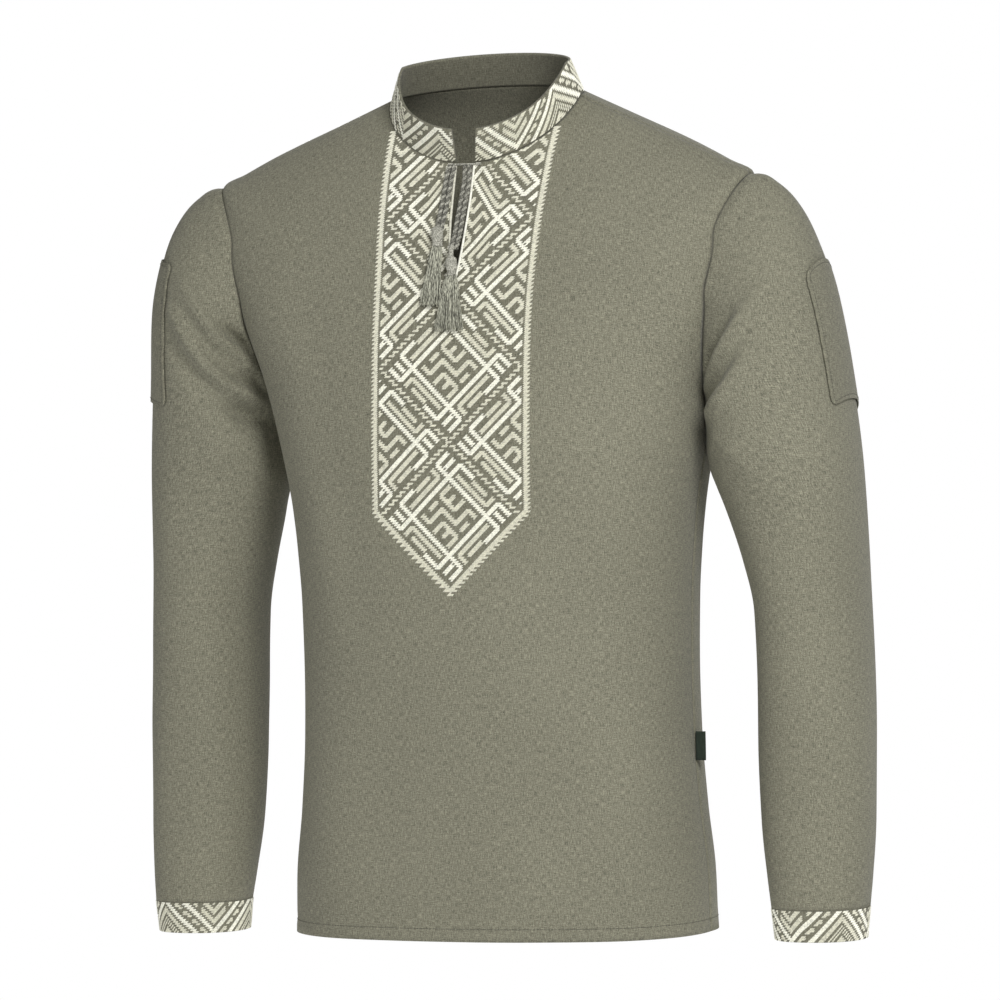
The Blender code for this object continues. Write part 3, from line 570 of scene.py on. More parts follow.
def sleeve_grid(name):
    """Rings of points down the left sleeve, and the same without folds. Creases reach nearer to the seam."""
    shares = np.concatenate([
        np.linspace(0, SLEEVE_CAP, SLEEVE_RINGS[0] + 1)[:-1], np.linspace(SLEEVE_CAP, 1, SLEEVE_RINGS[1] + 1),
    ])
    lines = [
        spaced(sleeve_line(360 * i / SLEEVE_SIDES), shares, start_gap=SLEEVE_SEAM_GAP)
        for i in range(SLEEVE_SIDES)
    ]
    grid = np.array(lines).transpose(1, 0, 2)
    lift = fold_lift(grid, FOLDS[name]) * seam_fade(grid, FOLD_SEAM_FADE)
    lift += fold_lift(grid, CREASES[name]) * seam_fade(grid, CREASE_SEAM_FADE) + edge_roll(down_columns(grid))
    return grid + outward(grid, closed_round=True) * lift[..., None], grid


def front_line(x):
    """The front's outer face down one line of constant x."""
    stations = np.linspace(0, 3, 600)
    r = BODY.row(stations)
    cosine = np.clip(abs(x) / r["half_width"], 0, 1) ** (r["power"] / 2)
    return body_point(stations, np.sqrt(1 - cosine * cosine), "front")


def front_depth(x, z):
    """The y of the front's outer face at this x and height, near the centre."""
    run = front_line(x)
    return float(np.interp(-z, -run[:, 2], run[:, 1]))


def mirrored(grid):
    """The same rings on the other side, still wound the same way round."""
    return (grid * (-1, 1, 1))[:, ::-1]


def body_stations(near_neck, armhole, below):
    """Stations of the body's rows: over the shoulder, beside the armhole, and down to the hem."""
    return np.concatenate([
        np.linspace(0, 1, near_neck + 1)[:-1],
        1 + (1 - np.cos(np.linspace(0, math.pi, armhole + 1)[:-1])) / 2,
        np.linspace(2, 3, below + 1),
    ])


def slit_half(depth, gap):
    """Half the width that the slit stands open, this far below the neck seam."""
    return SLIT_HALF_WIDTH * (1 - np.clip(depth / SLIT_LENGTH, 0, 1) ** SLIT_POWER) + gap


def slit_opening(grid):
    """Spreads the front's centre columns apart over the slit, and returns the rows it reaches."""
    middle = grid.shape[1] // 2
    depth = along(grid[:, middle])
    open_rows = int(np.searchsorted(depth, SLIT_LENGTH))
    for i in range(open_rows):
        x = grid[i, :, 0]
        near = np.clip(1 - np.abs(x) / SLIT_SPREAD, 0, 1)
        side = np.where(np.arange(len(x)) <= middle, -1, 1)
        grid[i, :, 0] = x + side * slit_half(depth[i], SEAM_GAP) * near
    return open_rows


def collar_base():
    """The neck seam all round, from the right end of the front gap to the left end."""
    sine = np.sin(np.linspace(0, math.pi / 2, DENSE))
    front = body_point(0.0, sine, "front")
    back = body_point(0.0, sine, "back")
    left_side = np.concatenate([front[::-1], back[1:]])
    return np.concatenate([left_side, (left_side * (-1, 1, 1))[::-1][1:]])


def collar_grid(heights, shares):
    """Rings of the collar. It leans in as it rises, more at its sides and back than in front."""
    base = collar_base()
    centre_y = base[:, 1].mean()
    turn = np.degrees(np.arctan2(np.abs(base[:, 0]), centre_y - base[:, 1]))
    lean = COLLAR_LEAN.at("lean_in", turn)
    rise = np.array(COLLAR_RISE)
    rows = []
    for height in heights:
        ring = base + rise * height + rise / np.linalg.norm(rise) * SEAM_GAP
        ring[:, 0] -= base[:, 0] * lean * height
        gap = COLLAR_GAP_BASE + (COLLAR_GAP_TOP - COLLAR_GAP_BASE) * height
        rows.append(spaced(ring, shares, start_gap=gap, end_gap=gap))
    return np.array(rows)


def cuff_grid():
    """Rings of the left cuff, which carry on from the sleeve's end and draw in a little."""
    end = sleeve_point(SLEEVE_END, 360 * np.arange(CUFF_SIDES) / CUFF_SIDES)
    centre = end.mean(axis=0)
    out = end - centre
    size = np.linalg.norm(out, axis=1)[:, None]
    rows = []
    for share in np.linspace(0, 1, CUFF_ROWS):
        ring = centre + out * (1 - CUFF_TAPER * share / size)
        rows.append(ring - (0, 0, SEAM_GAP + CUFF_HEIGHT * share))
    return np.array(rows)


def patch_line(patch, share):
    """A dense run of points across a patch, from its back edge, this share of the way down it."""
    edges = (np.array(patch[edge], float) for edge in ("back_turns", "front_turns"))
    back, front = (float(smooth(START_MIDDLE_END, edge, share)) for edge in edges)
    turns = np.linspace(back, front, PATCH_DENSE)
    bow = patch["top_bow"] + (patch["bottom_bow"] - patch["top_bow"]) * share
    level = patch["top_z"] + (patch["bottom_z"] - patch["top_z"]) * share
    wanted = level - bow * (1 - np.cos(np.radians(turns)))
    stations = np.linspace(1.0, 7.0, PATCH_DENSE)
    heights = sleeve_point(stations[:, None], turns[None, :])[:, 2].reshape(PATCH_DENSE, PATCH_DENSE)
    at = [np.interp(-z, -column, stations) for z, column in zip(wanted, heights.T)]
    return sleeve_point(np.array(at), turns)


def patch_grid(side):
    """Points of an arm patch with round corners, on the left sleeve and moved out."""
    patch = dict(zip(PATCH_COLUMNS, PATCHES[side]))
    down_middle = np.array([patch_line(patch, share)[PATCH_DENSE // 2] for share in np.linspace(0, 1, 25)])
    length = along(down_middle)[-1]
    corner = PATCH_CORNER * (1 - np.cos(np.linspace(0, math.pi / 2, 8)))
    middle = np.linspace(PATCH_CORNER, length - PATCH_CORNER, PATCH_FINE_ROWS)[1:-1]
    downs = np.concatenate([corner, middle, length - corner[::-1]])
    lines = []
    for down in downs:
        line = patch_line(patch, down / length)
        near_end = max(0.0, PATCH_CORNER - min(down, length - down))
        inset = PATCH_CORNER - math.sqrt(PATCH_CORNER ** 2 - near_end ** 2)
        shares = np.linspace(0, 1, PATCH_FINE_COLUMNS)
        lines.append(spaced(line, shares, start_gap=inset, end_gap=inset))
    grid = np.array(lines)
    lift = fold_lift(grid, FOLDS["sleeve_" + side] + CREASES["sleeve_" + side])
    return grid + outward(grid) * (lift + PATCH_CLEAR + PATCH_WALL)[..., None]


def tie_route(points):
    """A smooth route through (x, height) points, lying on the front."""
    points = np.array(points)
    length = along(points)
    at = np.linspace(0, length[-1], round(length[-1] / TIE_STEP) + 1)
    x = smooth(length, points[:, 0], at)
    z = smooth(length, points[:, 1], at)
    out = TIE_RADIUS + TIE_CLEAR
    return np.array([(a, front_depth(a, b) - out, b) for a, b in zip(x, z)])


# Materials
class Nodes:
    """A short way to wire a material's nodes."""

    def __init__(self, name, colour, roughness, sheen=0.0, specular=0.3):
        self.made = bpy.data.materials.new(name)
        self.made.use_nodes = True
        self.tree = self.made.node_tree
        self.shader = self.tree.nodes["Principled BSDF"]
        self.fill(self.shader, {
            "Base Color": (*colour, 1.0), "Roughness": roughness, "Specular IOR Level": specular,
            "Sheen Weight": sheen, "Sheen Roughness": 0.5,
        })
        self.made.diffuse_color = (*colour, 1.0)
        self.coordinates = self.new("TexCoord")

    def fill(self, node, values):
        """Sets inputs of a node, and links those whose value is the output of another."""
        for name, value in values.items():
            if isinstance(value, bpy.types.NodeSocket):
                self.tree.links.new(value, node.inputs[name])
            else:
                node.inputs[name].default_value = value
        return node

    def new(self, kind, values=None):
        return self.fill(self.tree.nodes.new("ShaderNode" + kind), values or {})

    def texture(self, kind, output, scale, values=None):
        """A texture on these coordinates, scaled for each axis."""
        mapping = self.new("Mapping", {"Scale": scale, "Vector": self.coordinates.outputs[output]})
        return self.new(kind, {"Scale": 1.0, "Vector": mapping.outputs["Vector"], **(values or {})})

    def noise(self, output, scale, detail=2.0, roughness=0.5):
        node = self.texture("TexNoise", output, scale, {"Detail": detail, "Roughness": roughness})
        return node.outputs["Fac"]

    def wave(self, output, scale, direction):
        node = self.texture("TexWave", output, scale)
        node.bands_direction = direction
        return node.outputs["Fac"]

    def math(self, operation, a, b):
        node = self.new("Math", {0: a, 1: b})
        node.operation = operation
        return node.outputs["Value"]

    def ramp(self, value, stops):
        """The base colour, from a value and the colours at stops along it."""
        node = self.new("ValToRGB", {"Fac": value})
        elements = node.color_ramp.elements
        while len(elements) < len(stops):
            elements.new(0.5)
        for element, (place, colour) in zip(elements, stops):
            element.position = place
            element.color = (*colour, 1.0)
        self.fill(self.shader, {"Base Color": node.outputs["Color"]})
        return node.outputs["Color"]

    def painted_shade_mask(self):
        """1 inside the outline of the front's embroidered panel, where shade between the stitches is painted,
        in world metres, and 0 outside.
        """
        split = self.new("SeparateXYZ", {"Vector": self.coordinates.outputs["Object"]})
        x = self.math("ABSOLUTE", split.outputs["X"], 0.0)
        z = split.outputs["Z"]
        above = self.math("MAXIMUM", self.math("ADD", z, -PAINTED_SHADE_SPREAD_FROM), 0.0)
        spread = self.math("MULTIPLY", above, PAINTED_SHADE_SPREAD)
        sides = self.math("LESS_THAN", x, self.math("ADD", spread, PAINTED_SHADE_HALF))
        lowest = (TIP_ROW + TIP_REACH) * CELL - CHART_Z + PAINTED_SHADE_PAST_TIP
        tip = self.math("LESS_THAN", self.math("SUBTRACT", x, z), lowest)
        front = self.math("LESS_THAN", split.outputs["Y"], PAINTED_SHADE_BACK)
        return self.math("MULTIPLY", self.math("MULTIPLY", sides, tip), front)

    def darken(self, colours, mask, share):
        """Multiplies the colour by this share where the mask is 1."""
        node = self.new("Mix")
        node.data_type = "RGBA"
        node.blend_type = "MULTIPLY"
        self.fill(node, {"Factor": mask, 6: colours, 7: (share, share, share, 1.0)})
        self.fill(self.shader, {"Base Color": node.outputs[2]})

    def bump(self, value, strength, distance):
        node = self.new("Bump", {"Strength": strength, "Distance": distance, "Height": value})
        self.fill(self.shader, {"Normal": node.outputs["Normal"]})


def scaled(colour, share):
    return tuple(c * share for c in colour)


def cloth_material(name, colour, contrast=1.0, painted_stitch_shade=None):
    """Heathered plain weave: uneven light and dark threads both ways, on a UV map in metres.

    The fourth argument is the share of the colour left between the stitches of the front's panel: painted
    shade of the stitches.
    """
    n = Nodes(name, colour, 0.9, sheen=0.10, specular=0.15)
    warp = n.noise("UV", (1500, 190, 1), 2.0, 0.6)
    weft = n.noise("UV", (190, 1500, 1), 2.0, 0.6)
    fleck = n.noise("UV", (1500, 1500, 1), 1.0, 0.6)
    broad = n.noise("UV", (9, 9, 1), 2.0, 0.5)
    threads = n.math("ADD", n.math("MULTIPLY", warp, 0.34), n.math("MULTIPLY", weft, 0.28))
    mottled = n.math("ADD", threads, n.math("MULTIPLY", fleck, 0.34))
    value = n.math("ADD", mottled, n.math("MULTIPLY", broad, 0.04))
    spread = 0.13
    colours = n.ramp(value, (
        (0.5 - spread, scaled(colour, 1 - 0.62 * contrast)),
        (0.5, colour),
        (0.5 + spread, scaled(colour, 1 + 0.80 * contrast)),
    ))
    # Painted shade: the cloth between the stitches of the front's panel is darkened.
    if painted_stitch_shade:
        n.darken(colours, n.painted_shade_mask(), painted_stitch_shade)
    over = n.wave("UV", (1 / WEAVE_PITCH / 2, 1, 1), "X")
    under = n.wave("UV", (1, 1 / WEAVE_PITCH / 2, 1), "Y")
    weave = n.math("MULTIPLY", n.math("ADD", over, under), 0.22)
    n.bump(n.math("ADD", weave, mottled), 0.45, 0.00040)
    return n.made


def thread_material(name, colour, sheen=0.25):
    """Twisted embroidery thread, with slight changes of tone from stitch to stitch."""
    n = Nodes(name, colour, 0.62, sheen=sheen, specular=0.35)
    tone = n.noise("Object", (520, 520, 520), 2.0, 0.6)
    n.ramp(tone, ((0.30, scaled(colour, 0.74)), (0.5, colour), (0.72, scaled(colour, 1.12))))
    twist = n.noise("Object", (2600, 2600, 900), 1.0, 0.5)
    n.bump(twist, 0.3, 0.0002)
    return n.made


def yarn_material(name, dark, light, scale, middle, middle_tone, fuzz):
    """Mixed light and dark yarns. scale and fuzz give the grain of their tone and of their surface."""
    n = Nodes(name, light, 0.8, sheen=0.15, specular=0.2)
    yarn = n.noise("Object", scale, 2.0, 0.6)
    n.ramp(yarn, ((middle - 0.14, dark), (middle, scaled(light, middle_tone)), (middle + 0.14, light)))
    n.bump(n.noise("Object", fuzz, 1.0, 0.5), 0.4, 0.0003)
    return n.made


# Yarn twisted into a cord, and yarn that hangs loose with each strand in its own tone
TWISTED = ((1500, 1500, 700), 0.52, 0.55, (3200, 3200, 1500))
LOOSE = ((1300, 1300, 110), 0.50, 0.60, (3200, 3200, 700))
CLOTH = (0.198, 0.192, 0.142)
MATERIALS = {
    "cloth": cloth_material("olive_heather_linen", CLOTH),
    # The front's cloth carries painted shade between the stitches of its panel.
    "front": cloth_material("olive_heather_front_painted_shade", CLOTH, painted_stitch_shade=0.88),
    "facing": cloth_material("olive_heather_ground", scaled(CLOTH, 0.92), 0.8),
    "patch": cloth_material("olive_heather_patch", scaled(CLOTH, 0.97)),
    "bright": thread_material("off_white_thread", (0.92, 0.91, 0.80)),
    "cream": thread_material("beige_thread", (0.74, 0.725, 0.60)),
    "sewing": thread_material("sewing_thread", (0.10, 0.098, 0.072), 0.1),
    "cord": yarn_material("twisted_cord_light", (0.16, 0.157, 0.13), (0.62, 0.61, 0.52), *TWISTED),
    # The second strand of each tie: a darker copy of the cord's yarn, painted shade of the twist's grooves.
    "cord_painted_shade_strand": yarn_material("twisted_cord_painted_shade", (0.055, 0.054, 0.045), (0.29, 0.285, 0.24), *TWISTED),
    "tassel": yarn_material("tassel_yarn", (0.055, 0.054, 0.042), (0.60, 0.60, 0.48), *LOOSE),
    "label": cloth_material("dark_green_tape", (0.026, 0.036, 0.026), 0.4),
}


# Meshes
def put(name, data):
    """Puts this data in the scene as an object."""
    made = bpy.data.objects.new(name, data)
    bpy.context.scene.collection.objects.link(made)
    return made


def add_mesh(name, verts, faces, material, slot, smooth_faces=True):
    data = bpy.data.meshes.new(name)
    data.from_pydata([tuple(map(float, v)) for v in verts], [], [tuple(map(int, f)) for f in faces])
    data.polygons.foreach_set("use_smooth", [smooth_faces] * len(data.polygons))
    data.materials.append(MATERIALS[material])
    data.update()
    made = put(name, data)
    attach(made, "root")
    return made


def second_material(made, material, chosen):
    """Gives the chosen faces another material."""
    made.data.materials.append(MATERIALS[material])
    made.data.polygons.foreach_set("material_index", np.asarray(chosen, int))
    made.data.update()


def grid_faces(rows, columns, closed_round):
    """Corners of each quad as (row, column), with columns counted on past the last when closed."""
    across = columns if closed_round else columns - 1
    i, j = np.meshgrid(np.arange(rows - 1), np.arange(across), indexing="ij")
    i, j = i.ravel(), j.ravel()
    return np.stack([
        np.stack([i, j], 1), np.stack([i + 1, j], 1), np.stack([i + 1, j + 1], 1), np.stack([i, j + 1], 1),
    ], axis=1)


def cloth_piece(
    solid, grid, wall, material, slot, closed_round=False, slit_rows=0, grain=None, plain=None,
    ending="_cloth",
):
    """A thin closed shell on a grid of points, in a solid's place. Its wall is on its inner side.

    Its UV map is in metres, along the grain: round the rings, and up. grain gives the second where the
    height alone won't do, and plain is the grid without its folds, which the weave is laid on.
    """
    rows, columns = grid.shape[:2]
    middle = columns // 2
    corners = grid_faces(rows, columns, closed_round)
    row, column = corners[..., 0], corners[..., 1]
    index = row * columns + column % columns
    verts = grid.reshape(-1, 3)
    if slit_rows:
        lips = grid[:slit_rows, middle] * (-1, 1, 1)
        on_right = (column[:, :1] >= middle) & (column == middle) & (row < slit_rows)
        index = np.where(on_right, len(verts) + row, index)
        verts = np.concatenate([verts, lips])
    made = add_mesh(solid + ending, verts, index, material, slot)
    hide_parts(solid)
    if plain is not None:
        grid = plain
    steps = np.linalg.norm((np.roll(grid, -1, axis=1) - grid)[..., :2], axis=2)
    if not closed_round:
        steps = steps[:, :-1]
    across = np.concatenate([np.zeros((rows, 1)), np.cumsum(steps, axis=1)], axis=1)
    across -= across[:, middle:middle + 1]
    height = grid[..., 2] if grain is None else grain
    if closed_round:
        height = np.concatenate([height, height[:, :1]], axis=1)
    uv = np.stack([across[row, column], height[row, column]], axis=-1)
    layer = made.data.uv_layers.new(name="metres")
    layer.data.foreach_set("uv", uv.reshape(-1).astype(np.float32))
    shell = made.modifiers.new("Wall", "SOLIDIFY")
    shell.thickness = wall
    shell.offset = -1
    return made


def frames_along(points):
    """A side and an up direction for each point of a route, turning as little as they can."""
    tangent = unit(np.gradient(points, axis=0))
    side = unit(np.cross(tangent[0], (0.0, 1.0, 0.0)))
    sides = []
    for t in tangent:
        side = unit(side - t * side.dot(t))
        sides.append(side)
    sides = np.array(sides)
    return sides, np.cross(tangent, sides)


def tube(points, radius, sides):
    """Vertices and faces of a closed round tube, with a radius for each point."""
    points = np.asarray(points, float)
    radius = np.broadcast_to(radius, len(points))
    side, up = frames_along(points)
    angle = 2 * math.pi * np.arange(sides) / sides
    ring = side[:, None] * np.cos(angle)[None, :, None] + up[:, None] * np.sin(angle)[None, :, None]
    verts = (points[:, None] + ring * radius[:, None, None]).reshape(-1, 3)
    faces = []
    for i in range(len(points) - 1):
        for j in range(sides):
            k = (j + 1) % sides
            faces.append((i * sides + j, i * sides + k, (i + 1) * sides + k, (i + 1) * sides + j))
    faces += [tuple(range(sides))[::-1], tuple(range((len(points) - 1) * sides, len(points) * sides))]
    return verts, faces


def joined(shapes):
    """Vertices and faces of several closed shapes as one."""
    verts, faces, start = [], [], 0
    for shape_verts, shape_faces in shapes:
        verts.append(shape_verts)
        faces += [tuple(k + start for k in face) for face in shape_faces]
        start += len(shape_verts)
    return np.concatenate(verts), faces


def tubes(name, runs, material, slot):
    """One object of several tubes, each a route and its radius."""
    verts, faces = joined([tube(points, radius, TUBE_SIDES) for points, radius in runs])
    return add_mesh(name, verts, faces, material, slot)


class Surface:
    """Places and normals on a grid, read between its points."""

    def __init__(self, grid, closed_round=False, flip=False):
        normal = outward(grid, closed_round)
        if flip:
            normal = -normal
        if closed_round:
            grid = np.concatenate([grid, grid[:, :1]], axis=1)
            normal = np.concatenate([normal, normal[:, :1]], axis=1)
        self.grid, self.normal = grid, normal

    def at(self, row, column):
        rows, columns = self.grid.shape[:2]
        row = np.clip(row, 0, rows - 1.0001)
        column = np.clip(column, 0, columns - 1.0001)
        i, j = row.astype(int), column.astype(int)
        a, b = (row - i)[..., None], (column - j)[..., None]
        out = []
        for values in (self.grid, self.normal):
            top = values[i, j] * (1 - b) + values[i, j + 1] * b
            low = values[i + 1, j] * (1 - b) + values[i + 1, j + 1] * b
            out.append(top * (1 - a) + low * a)
        return out[0], unit(out[1])


# A thread is a small roof: four corners of its foot, then the two ends of its ridge
ROOF_FACES = ((0, 1, 5, 4), (2, 3, 4, 5), (1, 2, 5), (3, 0, 4), (3, 2, 1, 0))


def threads_mesh(name, corners, material, slot, smooth_faces):
    """One object of many threads, from the six corners of each."""
    faces = [tuple(v + 6 * k for v in face) for k in range(len(corners)) for face in ROOF_FACES]
    return add_mesh(name, corners.reshape(-1, 3), faces, material, slot, smooth_faces)


def roofs(name, start, end, place, material):
    """Small raised threads. start and end are chart places, which place maps to a point and a normal."""
    run = end - start
    length = np.linalg.norm(run, axis=1)[:, None]
    aside = np.stack([-run[:, 1], run[:, 0]], axis=1) / length * (STROKE_WIDTH / STROKES_A_CELL / 2 * 1.25)
    inset = run * 0.16
    flat = np.stack([
        start - aside, end - aside, end + aside, start + aside, start + inset, end - inset,
    ], axis=1)
    up = np.array([THREAD_LIFT] * 4 + [THREAD_LIFT + THREAD_HEIGHT] * 2)
    point, normal = place(flat)
    return threads_mesh(name, point + normal * up[None, :, None], material, "band", False)


# Embroidery charts
BARS = (
    ("u", 19, -31, 31, 1), ("v", 31, 19, 30, 1), ("v", -31, 6, 19, 1), ("v", 25, 22, 30, 1),
    ("u", 24, -14, 15, 2), ("v", -14, 24, 31, 2), ("u", 29, -9, 4, 2),
)
FRET = (
    ("v", 6, -14, 0, 2), ("u", -14, 6, 15, 2), ("u", -7, 6, 13, 2), ("u", 0, 6, 15, 2),
    ("v", 0, -7, 7, 2), ("u", -7, -13, 0, 2), ("v", -13, -14, -7, 2), ("u", -13, -6, 1, 2),
)


def in_bar(u, v, bar):
    """Whether cells lie on a diagonal bar: a place across it, and its two ends along it."""
    axis, place, low, high, _ = bar
    across, lengthways = (u, v) if axis == "u" else (v, u)
    return (np.abs(across - place) <= 1) & (lengthways >= low) & (lengthways <= high)


def panel_chart(i, j):
    """Thread of each cell of the panel: 0 none, 1 off-white, 2 beige. It repeats by turns and steps."""
    u = (i + j + PERIOD // 2) % PERIOD - PERIOD // 2
    v = (i - j + PERIOD // 2) % PERIOD - PERIOD // 2
    chart = np.zeros(i.shape, int)
    for turn in range(4):
        for bar in BARS:
            chart = np.where(in_bar(u, v, bar) & (chart == 0), bar[4], chart)
        if turn % 2 == 0:
            for bar in FRET:
                inside = (np.abs(u) <= 15) & (np.abs(v) <= 15)
                chart = np.where(in_bar(u, v, bar) & inside & (chart == 0), bar[4], chart)
        u, v = -v, u
    for across, lengthways in ((u, v), (v, u)):
        off = np.abs(np.abs(across) - PERIOD // 2)
        side = np.where(across < 0, 1, -1)
        step = (lengthways * side) % 8
        cord = (off == 0) & (step < 6) | (off == 1) & (step % 4 < 2)
        chart = np.where(cord & (chart == 0), 2, chart)
    return chart


def border_chart(i, j):
    """Thread of the panel's border, and whether a cell is beyond the panel's pattern."""
    side = np.abs(i) - PANEL_HALF
    tip = (np.abs(i) + (j - TIP_ROW) - TIP_REACH) / math.sqrt(2)
    beyond = np.maximum(side, tip)
    stripe = (beyond > BORDER_GAP) & (beyond <= BORDER_STRIPE)
    teeth = (beyond > BORDER_STRIPE) & (beyond <= BORDER_STRIPE + 1.6) & (j % 2 == 0)
    return np.where(stripe | teeth, 2, 0), beyond > 0


def band_chart(i, j):
    """Thread of the collar's and cuffs' band: a double zigzag with a dog-tooth line, and chevrons."""
    m = np.abs((i + BAND_PERIOD // 2) % BAND_PERIOD - BAND_PERIOD // 2)
    off = m - (BAND_DROP - j)
    chart = np.where((np.abs(off) <= 1) | (np.abs(off - 10) <= 1), 1, 0)
    dog = ((off == 4) | (off == 5)) & (j % 4 != 0) | (off == 6) & (j % 4 == 2)
    inner = (off < -2) & ((-off - 4) % 5 < 3) & ((m + 2) % 9 > 1)
    outer = (off > 12) & ((off - 14) % 5 < 3) & ((m + j) % 7 > 0)
    return np.where((dog | inner | outer) & (chart == 0), 2, chart)


def strokes(i, j):
    """Slanted threads of each cell, as starts and ends in cells."""
    run = unit(np.array([1.0, -STROKE_SLOPE])) * STROKE_LENGTH / 2
    starts, ends = [], []
    for k in range(STROKES_A_CELL):
        centre = np.stack([i + (k + 0.5) / STROKES_A_CELL - 0.5, j + 0.0 * i], axis=1)
        starts.append(centre - run)
        ends.append(centre + run)
    return np.concatenate(starts), np.concatenate(ends)


def embroider(name, i, j, chart, place):
    """The off-white and the beige threads of a chart, as two pieces."""
    made = []
    for thread, material in ((1, "bright"), (2, "cream")):
        chosen = chart == thread
        start, end = strokes(i[chosen].astype(float), j[chosen].astype(float))
        made.append(roofs(name + "_" + material, start, end, place, material))
    return made


def cells(columns, rows):
    """Every cell of a chart, as its column and its row."""
    i, j = np.meshgrid(columns, rows)
    return i.ravel(), j.ravel()


# Pieces
def hem_lift(grid):
    """The turned hem stands out a little, below a pulled-in line of stitches."""
    down = down_columns(grid)
    above = down[-1] - down - HEM_HEIGHT
    turned = HEM_STEP / (1 + np.exp(np.clip(above / HEM_EDGE, -30, 30)))
    return turned - HEM_PULL * np.exp(-(above / HEM_PULL_WIDTH) ** 2)


def front_surface():
    """A regular grid over the embroidered part of the front: rows by height, columns by x."""
    x = np.arange(-SURFACE_HALF, SURFACE_HALF + 1) * SURFACE_STEP
    z = SURFACE_TOP - np.arange(0, SURFACE_ROWS) * SURFACE_STEP
    depth = []
    for a in x:
        run = front_line(a)
        depth.append(np.interp(-z, -run[:, 2], run[:, 1]))
    columns, heights = np.meshgrid(x, z)
    depth = np.array(depth).T - body_lift(columns, heights, "front")
    return Surface(np.stack([columns, depth, heights], axis=-1), flip=True)


def on_front(surface, x, z):
    """Points and normals of the front's surface at these x and heights."""
    return surface.at((SURFACE_TOP - z) / SURFACE_STEP, x / SURFACE_STEP + SURFACE_HALF)


def body_panel(face, rows, columns):
    """The front or back with its creases, rolled edges and hem, and the heights that its weave follows."""
    stations = body_stations(*rows)
    grid = panel_grid(face, stations, columns, PANEL_SEAM_GAP)
    if face == "back":
        grid = grid[:, ::-1]
    lift = body_lift(grid[..., 0], grid[..., 2], face) * side_fade(grid) + hem_lift(grid)
    lift += edge_roll(from_sides(grid))
    grid = grid - outward(grid) * lift[..., None]
    return grid, shoulder_grain(grid, stations, 1 if face == "front" else -1)


def make_body():
    """The front and back, and the stitches of their hems."""
    grid, grain = body_panel("front", FRONT_ROWS, FRONT_COLUMNS)
    slit_rows = slit_opening(grid)
    front = cloth_piece("front", grid, WALL, "front", "cloth", slit_rows=slit_rows, grain=grain)
    front_hem = hem_stitches("front_hem_stitches", grid)
    grid, grain = body_panel("back", BACK_ROWS, BACK_COLUMNS)
    back = cloth_piece("back", grid, WALL, "cloth", "cloth", grain=grain)
    return front, back, front_hem, hem_stitches("back_hem_stitches", grid)


def shoulder_grain(grid, stations, forward):
    """Heights for the weave, which keep its scale where the cloth lies flat over the shoulders."""
    share = GRAIN_SHARE * (1 - ease((stations - GRAIN_START) / GRAIN_REACH))
    return grid[..., 2] + forward * share[:, None] * grid[..., 1]


def from_sides(grid):
    """Distance of each point from the nearer end of its row."""
    steps = np.linalg.norm(np.diff(grid, axis=1), axis=2)
    across = np.concatenate([np.zeros((len(grid), 1)), np.cumsum(steps, axis=1)], axis=1)
    return np.minimum(across, across[:, -1:] - across)


def edge_roll(away):
    """The cloth rolls in where it is sewn. away is the distance of each point from the seam."""
    return -SEAM_DEPTH * np.exp(-(away / SEAM_ROLL) ** 2)


def side_fade(grid):
    """0 at a panel's first and last columns and first row, so that creases stop at its seams."""
    return ease(from_sides(grid) / CREASE_SIDE_FADE) * seam_fade(grid, CREASE_SIDE_FADE)


def stitched_line(name, points, normals):
    """A row of sewing stitches along a line on a surface."""
    length = along(points)
    begin = np.arange(int(length[-1] / (STITCH_LENGTH + STITCH_GAP))) * (STITCH_LENGTH + STITCH_GAP)
    centres, ups = [], []
    for share in (0.0, 0.2, 0.8, 1.0):
        at = begin + STITCH_LENGTH * share
        centres.append(np.stack([np.interp(at, length, points[:, k]) for k in range(3)], axis=1))
        ups.append(unit(np.stack([np.interp(at, length, normals[:, k]) for k in range(3)], axis=1)))
    aside = unit(np.cross(ups[0], centres[3] - centres[0])) * STITCH_HALF_WIDTH
    corners = ((0, -1), (3, -1), (3, 1), (0, 1))
    foot = [centres[k] + aside * side + ups[k] * STITCH_FOOT for k, side in corners]
    ridge = [centres[k] + ups[k] * STITCH_HEIGHT for k in (1, 2)]
    return threads_mesh(name, np.stack(foot + ridge, axis=1), "sewing", "cloth", True)


def hem_stitches(name, grid):
    """The hem's row of stitches, at one height above the edge all along."""
    down = down_columns(grid)
    normal = -outward(grid)
    points, normals = [], []
    for j in range(grid.shape[1]):
        at = down[-1, j] - HEM_HEIGHT
        points.append([np.interp(at, down[:, j], grid[:, j, k]) for k in range(3)])
        normals.append([np.interp(at, down[:, j], normal[:, j, k]) for k in range(3)])
    return stitched_line(name, np.array(points), np.array(normals))


def on_side(grid, side):
    """The wearer's left grid as it is, or mirrored for the right."""
    return mirrored(grid) if side == "right" else grid


def make_sleeves():
    """Both sleeves, each with the seam that its head is sewn in with."""
    made = []
    for side in ("left", "right"):
        name = "sleeve_" + side
        grid, plain = (on_side(rings, side)[:, ::-1] for rings in sleeve_grid(name))
        piece = cloth_piece(name, grid, WALL, "cloth", "cloth", closed_round=True, plain=plain)
        made.append((piece, armhole_seam(name, side)))
    return made


def armhole_seam(name, side):
    """The sunk seam between a sleeve's head and the body, which closes the gap between them."""
    curve = armhole_curve(np.linspace(0, 360, 181))
    line = curve + unit(curve.mean(axis=0) - curve) * SEAM_SUNK
    if side == "right":
        line = line * (-1, 1, 1)
    return tubes(name + "_seam", [(line, SEAM_ALLOWANCE)], "sewing", "cloth")


def grid_place(surface, row_step, column_step, row_start, column_start):
    """Turns chart cells (across, down) into places on a surface."""
    def place(flat):
        return surface.at(row_start + flat[..., 1] * row_step, column_start + flat[..., 0] * column_step)
    return place


